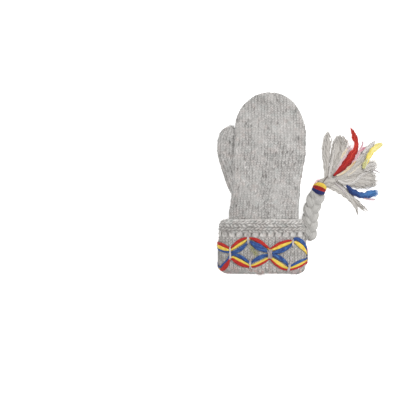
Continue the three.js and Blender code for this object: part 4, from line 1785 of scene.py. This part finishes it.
    def couching(self) -> Shell:
        """Lay the grey stitches: arches over the yarns at each meeting and peak, and two single ones.

        An arch is a half sine cut flat at the top, and both its ends are sunk in the cuff.

        Returns:
            The stitches.
        """
        rng = np.random.default_rng(61)
        spans = []
        for spot in COUCHING:
            share = self.stitches_from + spot.row / len(STITCH_ROWS)
            for aside in spot.spread * np.linspace(-1, 1, spot.count):
                moved = share + (spot.shift + aside) / self.girth
                spans.append((moved, spot.y + spot.above, spot.y - spot.below, spot.tone))
        table = np.array(spans)
        count, rings = len(table), 19
        part = np.linspace(0, 1, rings)[None]
        lean = rng.normal(0, 0.7, (count, 1)) / self.girth
        shift = rng.normal(0, 0.25, (count, 1)) / self.girth
        wave = 0.35 * np.sin(TURN * (1.2 * part + rng.uniform(0, 1, (count, 1)))) / self.girth
        share = table[:, :1] + shift + lean * (part - 0.5) * 2 + wave
        reach = rng.uniform(0.85, 1.1, (count, 1))
        y = table[:, 1:2] + (table[:, 2:3] - table[:, 1:2]) * ((part - 0.5) * reach + 0.5)
        arch = np.minimum(1, np.sin(np.pi * part) * 2.4)
        lift = -1.2 + 4.4 * arch + 0.5 * rng.uniform(0, 1, (count, 1)) + 0 * share
        centre, up = self.lifted(share, y, lift)
        along = np.gradient(centre, axis=1)
        side = unit(np.cross(along, up))
        radius = (0.56 + 0.1 * np.sin(9 * part + rng.uniform(0, 6, (count, 1))))[..., None]
        angle = np.arange(7) / 7 * TURN
        tubes = swept(centre, side, up, radius * np.cos(angle), radius * np.sin(angle))
        tubes[..., 2] = np.maximum(tubes[..., 2], 0.1)
        tone = table[:, 3, None, None] + rng.uniform(-0.25, 0.25, (count, 1, 1))
        tone = np.broadcast_to(np.clip(tone, 0, 1), tubes.shape[:3])
        return grid_shell(tubes, {"tone": tone}, uv_size=(4, 16))

    def fluff(self, spots: Sequence[FluffSpot], seed: int) -> Shell:
        """Grow small patches of short loose fibres out of the cuff.

        Args:
            spots: Where the patches are.
            seed: Fixes the random numbers.

        Returns:
            The fibres.
        """
        rng = np.random.default_rng(seed)
        angles = np.linspace(math.pi, 0, 361)
        shells = []
        for k, spot in enumerate(spots):
            away = rng.normal(size=(400, 2)) * spot.size * 0.5
            x = np.clip(spot.x + away[:, 0], *self.fluff_x)
            y = np.clip(spot.y + away[:, 1], *self.fluff_y)
            over = self.ring_points(np.full(361, float(np.clip(spot.y, *self.fluff_y))), angles)
            z = np.interp(x, over[:, 0], over[:, 2]) - spot.sink
            roots = np.stack([x, y, z], -1)
            outward = unit(np.broadcast_to(np.array(spot.outward, float), roots.shape))
            patch = HazePatch(spot.count, spot.length, radius=0.13, lift=spot.lift, seed=seed + k)
            shells.append(patch.shell(roots, outward))
        return merge(shells)

    def build(self) -> None:
        """Make the six yarns, the stitches that hold them and the fluff on the cuff."""
        for wave in Wave:
            for k, tint in enumerate(Tint):
                name = f"{wave.name.lower()}_{tint.name.lower()}"
                shell = self.yarn(wave, tint, 70 + 5 * k + 20 * (wave is Wave.LOWER))
                material = self.palette.tints[tint]
                slot = self.palette.tint_slot(tint)
                make_piece(f"embroidery_{name}", shell, material, slot, [f"yarn_{name}"])
        make_piece("couching_stitches", self.couching(), self.palette.couching, "plait_wool")
        make_piece("green_fluff", self.fluff(GREEN_FLUFF, 200), self.palette.green, "yellow_yarn")
        make_piece("pink_fluff", self.fluff(PINK_FLUFF, 220), self.palette.pink, "red_yarn")
        make_piece("brown_fluff", self.fluff(BROWN_FLUFF, 240), self.palette.brown, "plait_wool")


def spun(
    centres: Array,
    side: Array,
    up: Array,
    radius: Array,
    turns: float,
    columns: int = 8,
    lobes: float = 0.2,
) -> Array:
    """Sweep two-ply yarns: a ring with two lobes that turns as it goes along.

    Args:
        centres: Centre lines as yarns x rings x 3.
        side: Side directions, of the same shape.
        up: Up directions, of the same shape.
        radius: Radii as yarns x rings.
        turns: Turns of the ply over the yarn's length.
        columns: Points round a ring.
        lobes: How far the lobes stand out.

    Returns:
        The rings as yarns x rings x columns x 3.
    """
    angle = (np.arange(columns) / columns * TURN)[None, None]
    turn = (np.linspace(0, turns * TURN, centres.shape[1]))[None, :, None]
    wide = radius[..., None] * (1 + lobes * np.cos(2 * angle))
    return swept(centres, side, up, wide * np.cos(angle + turn), wide * np.sin(angle + turn))


def sunflower(count: int) -> Array:
    """Spread points evenly in a circle of radius one, on a spiral of golden angles.

    Args:
        count: How many points.

    Returns:
        The points.
    """
    index = np.arange(count) + 0.5
    radius = np.sqrt(index / count)
    angle = index * math.pi * (3 - math.sqrt(5))
    return np.stack([radius * np.cos(angle), radius * np.sin(angle)], -1)


@dataclass
class Plait:
    """Three strands of grey wool plaited from the cuff's side to the binding."""

    palette: Palette
    line: tuple[tuple[float, float, float], ...] = (
        (60.2, -85, 12.5),
        (61.6, -70, 11.5),
        (63.2, -52, 10),
        (67.8, -33, 8.4),
        (76, -12, 8),
    )
    strands: int = 3
    sway: float = 6.0
    weave: float = 2.9
    turns: float = 1.8
    gather: float = 0.12
    end_swing: float = 0.5
    taper: float = 0.08
    half_width: float = 7.0
    half_height: float = 4.3
    yarns: int = 22
    yarn: float = 0.85
    rings: int = 64

    def strand(self, index: int) -> Shell:
        """Bundle yarns along a strand, which swings once aside while it goes twice over.

        The strands are thicker than their swing leaves room for, so they press into each other.

        Args:
            index: Which strand.

        Returns:
            The strand's yarns.
        """
        rng = np.random.default_rng(90 + index)
        t = np.linspace(0, 1, self.rings)
        centre, side, up = Line(self.line).frames(t)
        from_end = np.minimum(1, np.minimum(t, 1 - t) / self.gather)
        opened = self.end_swing + (1 - self.end_swing) * from_end
        swing = TURN * self.turns * t + TURN * index / self.strands
        path = centre + side * (self.sway * opened * np.sin(swing))[:, None]
        path = path + up * (self.weave * opened * np.sin(2 * swing))[:, None]
        centre, side, up = frames_on(path, np.gradient(path, axis=0))
        end = np.sqrt(np.minimum(1, np.maximum(np.minimum(t, 1 - t), 1e-4) / self.taper))
        spots = sunflower(self.yarns)
        spiral = np.arctan2(spots[:, 1], spots[:, 0])[:, None] + 0.5 * TURN * t[None]
        reach = 0.86 * np.linalg.norm(spots, axis=1)[:, None]
        width = (self.half_width + 0.9 * smoothstep(t, 0.55, 0.85)) * end[None]
        height = self.half_height * end[None]
        lines = (
            centre[None]
            + side[None] * (reach * np.cos(spiral) * width)[..., None]
            + up[None] * (reach * np.sin(spiral) * height)[..., None]
        )
        lines[..., 2] = np.maximum(lines[..., 2], 1.2)
        radius = self.yarn * (0.35 + 0.65 * end)[None] * rng.uniform(0.85, 1.15, (self.yarns, 1))
        sides = np.broadcast_to(side, lines.shape)
        ups = np.broadcast_to(up, lines.shape)
        rings = spun(lines, sides, ups, radius, 7, columns=6, lobes=0.1)
        rings[..., 2] = np.maximum(rings[..., 2], 0.1)
        tone = np.broadcast_to(rng.uniform(0.3, 0.75, (self.yarns, 1, 1)), rings.shape[:3])
        angle = np.arange(14) / 14 * TURN
        across, rise = width[0][:, None] * np.cos(angle), height[0][:, None] * np.sin(angle)
        core = swept(centre, side, up, 0.86 * across, 0.86 * rise)
        core[..., 2] = np.maximum(core[..., 2], 0.1)
        middle = np.full((1, self.rings, 14), 0.45)
        return merge(
            [
                grid_shell(rings, {"tone": tone}, uv_size=(5, 90)),
                grid_shell(core[None], {"tone": middle}, uv_size=(24, 90)),
            ]
        )

    def build(self) -> None:
        """Make the three strands."""
        for index in range(self.strands):
            name = f"plait_strand_{index + 1}"
            make_piece(f"{name}_yarns", self.strand(index), self.palette.plait, "plait_wool", [name])


@dataclass
class Binding:
    """Three colours of yarn wound in bands round the end of the plait."""

    palette: Palette
    centre: tuple[float, float, float] = (76.6, -9.7, 8.0)
    tilt: float = 21.7
    half_width: float = 10.0
    flatness: float = 0.78
    yarn: float = 1.05
    pitch: float = 4.35
    fan: float = 0.32
    draw_in: float = 0.28
    winds: int = 3
    columns: int = 8

    def turns(self, place: float, tones: tuple[float, float], seed: int) -> Shell:
        """Wind a colour: flattened rings side by side, which fan out over the top and meet at
        the sides, because their distance from the middle one grows with the height.

        Args:
            place: How far along the plait the colour lies.
            tones: The darkest and the lightest yarn.
            seed: Fixes the random numbers.

        Returns:
            The rings of yarn.
        """
        rng = np.random.default_rng(seed)
        count = 72
        turn = np.linspace(0, TURN, count, endpoint=False)
        tilt = math.radians(-self.tilt)
        across = np.array([math.cos(tilt), math.sin(tilt), 0])
        along = np.array([-math.sin(tilt), math.cos(tilt), 0])
        spread = 1 - self.draw_in + (self.fan + self.draw_in) * np.abs(np.sin(turn)) ** 1.5
        shells = []
        for k in range(self.winds):
            radius = self.yarn * (1 + 0.06 * rng.normal()) * (0.86 + 0.2 * np.abs(np.sin(turn)))
            wide = self.half_width - radius + 0.2 * rng.normal()
            tall = self.half_width * self.flatness - radius + 0.15 * rng.normal()
            shift = (place + (k - (self.winds - 1) / 2) * self.pitch / self.winds) * spread
            shift = shift + 0.3 * np.sin(turn + rng.uniform(0, 1))
            path = (
                np.array(self.centre)
                + across * (wide * np.cos(turn))[:, None]
                + UP * (tall * np.sin(turn))[:, None]
                + along * shift[:, None]
            )
            way = unit(np.roll(path, -1, axis=0) - np.roll(path, 1, axis=0))
            out = unit(path - np.array(self.centre) - along * shift[:, None])
            side = unit(np.cross(way, out))
            rings = spun(path[None], side[None], out[None], radius[None], 9, self.columns, 0.1)
            rings[..., 2] = np.maximum(rings[..., 2], 0.1)
            tone = np.full((1, count, self.columns), rng.uniform(*tones))
            shells.append(grid_shell(rings, {"tone": tone}, poles=False, uv_size=(6, 60)))
        return merge(shells)

    def loose_end(self) -> Shell:
        """Draw the dark sewing thread that comes out from under the bands."""
        line = Line([(79.3, -5.5, 14.6), (80.6, -2, 14.8), (83.6, 2.4, 13.4), (88.6, 8.4, 12)])
        centre, side, up = line.frames(np.linspace(0, 1, 24))
        radius = np.full((1, 24), 0.5)
        rings = spun(centre[None], side[None], up[None], radius, 5, 6, 0.15)
        return grid_shell(rings, {"tone": np.full((1, 24, 6), 0.5)}, uv_size=(3, 20))

    def build(self) -> None:
        """Make the three colours, blue nearest the plait, and the loose thread."""
        tones = {Tint.BLUE: (0.2, 0.8), Tint.RED: (0.0, 0.4), Tint.YELLOW: (0.25, 0.6)}
        for i, tint in enumerate((Tint.BLUE, Tint.RED, Tint.YELLOW)):
            name = f"binding_{tint.name.lower()}"
            shell = self.turns((i - 1) * self.pitch, tones[tint], 110 + i)
            material = self.palette.navy if tint is Tint.BLUE else self.palette.tints[tint]
            make_piece(f"{name}_winds", shell, material, self.palette.tint_slot(tint), [name])
        make_piece("dark_thread", self.loose_end(), self.palette.thread, "plait_wool")


class Lock(NamedTuple):
    """A lock of tassel wool: its line in plan, heights, half sizes along it and its strands."""

    points: tuple[tuple[float, float], ...]
    root_z: float
    tip_z: float
    half_height: float
    half_widths: tuple[float, ...]
    strands: int
    shortest: float = 0.86
    fade: float = 0.0
    shade: float = 0.5


NECK = Lock(
    ((77.1, -9), (78.6, -5.2), (80.6, -2), (86, -0.6), (96, 1), (106, 4)),
    8, 7, 4.7, (4, 6.4, 7.4, 9, 10, 9.4, 6), 46,
)

GREY_LOCKS = (
    Lock(
        ((87.5, 4), (87.4, 30), (87.2, 48), (90.6, 75.5)),
        7, 4.4, 4.2, (2.4, 3.2, 4.5, 5.8, 6.8, 6.4, 1.4), 30, 0.93,
    ),
    Lock(
        ((92.5, 6), (98.5, 25), (104.4, 42), (107.6, 55), (106.4, 70)),
        7, 4.8, 4.6, (2.6, 4.2, 7.2, 10.4, 12.3, 12.2, 3.6), 64, 0.93,
    ),
    Lock(
        ((98, 6), (118, 18), (136, 31.5), (148, 46), (158.5, 59.5)),
        7, 4.2, 4.4, (3, 5.5, 8, 9.2, 8.6, 6, 1.6), 40, 0.8,
    ),
    Lock(
        ((100, 5), (122, 14), (142, 20.5), (164, 27)),
        7, 4.2, 4.2, (3, 5, 7, 8.2, 8.8, 8.6, 5), 38, 0.88,
    ),
    Lock(
        ((100, 2), (120, 1.5), (140, 3.4), (163.5, 3.4)),
        7, 4.2, 4.4, (4, 6, 8.5, 12, 14, 13.4, 9), 66, 0.92,
    ),
    Lock(
        ((94, -4), (110, -12.5), (122, -23.5), (130, -35.5), (134.4, -49)),
        7, 3.6, 4, (6, 6.4, 5.6, 4, 2.8, 2, 1.2), 26, 0.8,
    ),
    Lock(
        ((98, -3), (116, -15), (131, -29), (149.5, -44.5)),
        6.6, 3.4, 3.8, (5, 5.4, 4.6, 3.6, 3.2, 3.4, 2), 22, 0.82,
    ),
)

TINTED_LOCKS = {
    Tint.RED: Lock(
        (
            (97, 9.3), (108, 19), (118.5, 31), (125.5, 41.5),
            (130.3, 49.5), (130.5, 58), (127.5, 67.5), (122.3, 81.5),
        ),
        11.8, 7, 3.2, (0.9, 2.8, 4.6, 5.4, 5.6, 4.4, 2.8, 3.9, 2.6, 0.7), 34, 0.9, 0.9,
    ),
    Tint.YELLOW: Lock(
        ((141.5, 22), (146.5, 32), (151.8, 43), (159.5, 50.6), (170.8, 57)),
        10, 6, 2.8, (1.6, 2.8, 3.4, 3.8, 4, 4, 3), 26, 0.93, 0.6, 0.85,
    ),
    Tint.BLUE: Lock(
        ((115.8, -4.2), (122.5, -11.8), (130, -16.5), (141, -19.5), (151, -17), (164.5, -15.6)),
        10.4, 5, 3, (0.8, 2.8, 4, 3.8, 3.8, 4.8, 5, 3.6), 32, 0.92, 1.6, 0.6,
    ),
}

PINK_STRANDS = (
    Lock(
        ((124, 27), (131.3, 37.5), (136.6, 48), (139.8, 57), (137.8, 62)),
        10, 9, 1.6, (1, 1.7, 1.9, 1.6, 1), 12, 0.86, 0, 0.7,
    ),
    Lock(((132, 41), (138.5, 47.6), (144.8, 51)), 10, 8, 1.6, (0.8, 1.7, 2.1, 1.5), 12, 0.8, -1.1),
    Lock(((112, 33), (119, 45), (125, 52.6)), 8, 8, 2, (1.4, 3, 4, 2), 16, 0.8, 0, 0.85),
    Lock(((142, -23.2), (150, -25), (160.6, -25.6)), 5, 4, 1.2, (1, 1.6, 1.2), 9, 0.86, 0, 0.9),
    Lock(((69.5, -2), (72.6, 2.2), (78.4, 3.8)), 12.6, 12, 0.9, (0.8, 1.2, 0.8), 6, 0.86, 0, 0.8),
    Lock(((101, 16), (108, 26.5), (116.5, 40)), 10.4, 9.6, 1.2, (0.8, 1.2, 1), 7, 0.86, 0, 0.9),
)

CREAM_STRANDS = (
    Lock(
        ((101, 9.2), (111, 13.6), (119.5, 21.5), (130, 31.6)),
        11.6, 10, 1.6, (0.8, 1.5, 2.1, 1.4), 11, 0.86, -0.7, 0.6,
    ),
    Lock(((118, 9), (129, 17.5), (142, 30.5)), 8.6, 8.4, 1.2, (0.6, 1, 0.6), 5, 0.9, 0, 0.98),
    Lock(((108, 34), (114.6, 44), (120, 49.6)), 8.2, 8.2, 2, (1.2, 3, 2.4), 14, 0.8, 0, 0.75),
)

PALE_STRANDS = (
    Lock(((140, 19), (150, 24), (162.6, 29)), 9, 6, 3, (3, 6, 6.6, 5.4), 34, 0.8, 0.5),
    Lock(((140, 42), (150, 53), (161, 61.4)), 8.6, 6, 2, (1.6, 2.6, 1.2), 14, 0.8, 0.3),
    Lock(
        ((103, 2.6), (115, -2.4), (128, 0.6), (139, 10.4), (152, 16)),
        11, 8.6, 1.8, (1, 2.4, 3, 2.4, 1), 13, 0.86, 0, 0.3,
    ),
    Lock(((90, 7), (94, 28), (100, 52)), 10.6, 8.6, 1.4, (0.8, 1.6, 1.4), 8, 0.86, 0, 0.4),
    Lock(
        ((99, 12), (108, 28), (116, 42), (122, 55.5)),
        8, 7, 2.6, (1.4, 3.6, 5.6, 5.4, 2.4), 30, 0.82, 0, 0.3,
    ),
    Lock(
        ((99, 14), (107, 31), (112.6, 44), (116.6, 55)),
        7.4, 6.4, 2.4, (1.2, 3, 4.6, 3.6), 24, 0.8, 0, 0.5,
    ),
)

GREEN_STRANDS = (
    Lock(((140.6, 19.6), (143, 26.5), (148, 35)), 11, 10, 2.2, (2.2, 2.7, 2), 15, 0.8, 0.4),
)

DARK_STRANDS = (
    Lock(((154, 17.6), (160, 16.2), (168, 12)), 7.4, 5, 0.8, (1, 1.1, 0.5), 5, 0.8),
    Lock(((99, -1.4), (108, -9), (117, -20)), 11, 9.4, 0.7, (0.8, 0.9, 0.6), 4, 0.8),
)


@dataclass
class Tassel:
    """The tassel's grey and coloured locks of loose, combed wool."""

    palette: Palette
    rings: int = 34
    columns: int = 5
    radius: float = 0.8
    reach: float = 0.92
    core_share: float = 0.84

    def sizes(self, lock: Lock, t: Array) -> tuple[Array, Array]:
        """Look up a lock's half width, and its half height, which goes with the root of that.

        Args:
            lock: The lock.
            t: Shares of its length.

        Returns:
            Half width and half height.
        """
        widths = np.array(lock.half_widths, float)
        knots = np.linspace(0, 1, len(widths))
        width = np.maximum(blend(knots, widths[:, None], t)[..., 0], 0.3)
        return width, lock.half_height * np.sqrt(width / widths.max())

    def line(self, lock: Lock) -> Line:
        """Lay the lock's centre line, whose height runs evenly from root to tip."""
        heights = np.linspace(lock.root_z, lock.tip_z, len(lock.points))
        return Line([(x, y, z) for (x, y), z in zip(lock.points, heights)])

    def core(self, lock: Lock) -> Shell:
        """Fill the lock's middle with a slimmer soft body, so that nothing shows between strands.

        Args:
            lock: The lock.

        Returns:
            The body.
        """
        rings, columns = 28, 14
        t = np.linspace(0, 1, rings)
        centre, side, up = self.line(lock).frames(t * (0.05 + 0.95 * lock.shortest))
        width, height = self.sizes(lock, t * (0.05 + 0.95 * lock.shortest))
        ends = self.core_share * np.sqrt(np.maximum(1 - t**6, 0.02))
        angle = np.arange(columns) / columns * TURN
        across = (width * ends)[:, None] * np.cos(angle)
        body = swept(centre, side, up, across, (height * ends)[:, None] * np.sin(angle))
        body[..., 2] = np.maximum(body[..., 2], 0.3)
        tone = lock.shade - 0.1 + lock.fade * (t - 0.5)
        tone = np.broadcast_to(tone[None, :, None], (1, rings, columns))
        return grid_shell(body[None], {"tone": np.clip(tone, 0, 1)}, uv_size=(26, 80))

    def strands(self, lock: Lock, seed: int, thickness: float = 1.0) -> Shell:
        """Lay fine strands over the lock, each at its own place in the section.

        A strand's line is the lock's, moved aside and up by its place in the section times the
        lock's half sizes, with a slow wander and a small crimp. Their ends are uneven.

        Args:
            lock: The lock.
            seed: Fixes the random numbers.
            thickness: How many times as thick as usual the strands are.

        Returns:
            The strands.
        """
        rng = np.random.default_rng(seed)
        count = lock.strands
        share = np.linspace(0, 1, self.rings)[None]
        t = share * rng.uniform(lock.shortest, 1, (count, 1)) * (1 - 1e-4)
        line = self.line(lock)
        centre, side, up = line.frames(t)
        width, height = self.sizes(lock, t)
        spots = sunflower(count) * self.reach
        swirl = 0.35 * (share - 0.3) * rng.normal(size=(count, 1))
        across = spots[:, :1] * np.cos(swirl) - spots[:, 1:] * np.sin(swirl)
        rise = spots[:, :1] * np.sin(swirl) + spots[:, 1:] * np.cos(swirl)
        wander = 0.15 * np.sin(TURN * (1.3 * t + rng.uniform(0, 1, (count, 1)))) * t
        crimps = line.length / rng.uniform(9, 15, (count, 1))
        crimp = 0.75 * np.sin(TURN * (crimps * t + rng.uniform(0, 1, (count, 1))))
        crimp = crimp * np.minimum(1, 4 * t) * np.minimum(1, (width / 3.5) ** 2)
        aside = (across + wander) * width + crimp
        lines = centre + side * aside[..., None] + up * (rise * height)[..., None]
        thin = self.radius * thickness * rng.uniform(0.75, 1.2, (count, 1))
        thin = thin * np.maximum(1 - share**5, 0.09) ** 0.7
        lines[..., 2] = np.maximum(lines[..., 2], thin + 0.1)
        rings = spun(lines, side, up, thin, 5, self.columns, 0.12)
        tone = lock.shade + rng.uniform(-0.5, 0.5, (count, 1, 1)) + lock.fade * (t - 0.5)[..., None]
        tone = np.broadcast_to(np.clip(tone, 0, 1), rings.shape[:3])
        return grid_shell(rings, {"tone": tone}, uv_size=(4, 80))

    def build(self) -> None:
        """Make the grey locks with their neck, the coloured ones and the loose strands."""
        shells = []
        for i, lock in enumerate((NECK, *GREY_LOCKS)):
            shells += [self.core(lock), self.strands(lock, 120 + i)]
        make_piece("tassel_strands", merge(shells), self.palette.tassel, "plait_wool", ["tassel"])
        for i, (tint, lock) in enumerate(TINTED_LOCKS.items()):
            name = f"tassel_lock_{tint.name.lower()}"
            shell = merge([self.core(lock), self.strands(lock, 140 + i)])
            material = self.palette.lemon if tint is Tint.YELLOW else self.palette.tints[tint]
            make_piece(f"{name}_strands", shell, material, self.palette.tint_slot(tint), [name])
        loose = (
            ("pink", PINK_STRANDS, self.palette.pink, "red_yarn", 0.8),
            ("cream", CREAM_STRANDS, self.palette.cream, "yellow_yarn", 0.85),
            ("pale", PALE_STRANDS, self.palette.pale, "plait_wool", 0.8),
            ("green", GREEN_STRANDS, self.palette.green, "yellow_yarn", 0.9),
            ("dark", DARK_STRANDS, self.palette.couching, "plait_wool", 0.8),
        )
        for k, (name, locks, material, slot, thickness) in enumerate(loose):
            shell = merge([self.strands(lock, 160 + 10 * k + i, thickness) for i, lock in enumerate(locks)])
            make_piece(f"tassel_{name}_strands", shell, material, slot)


def report_sizes(cad: tuple[Vector, Vector]) -> None:
    """Args:
        cad: The CAD box's corners.
    """
    log.info("cad %s", [[round(v / MM, 1) for v in c] for c in cad])


def main() -> None:
    """Build the studio and every sub-assembly of the mitten in order."""
    logging.basicConfig(level=logging.INFO, format="%(name)s: %(message)s")
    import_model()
    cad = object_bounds()
    Studio().build()
    palette = Palette()
    Hand(palette).build()
    Thumb(palette).build()
    cuff = Cuff(palette)
    cuff.build()
    Embroidery(palette, cuff).build()
    Plait(palette).build()
    Binding(palette).build()
    Tassel(palette).build()
    report_sizes(cad)


if __name__ == "__main__":
    main()
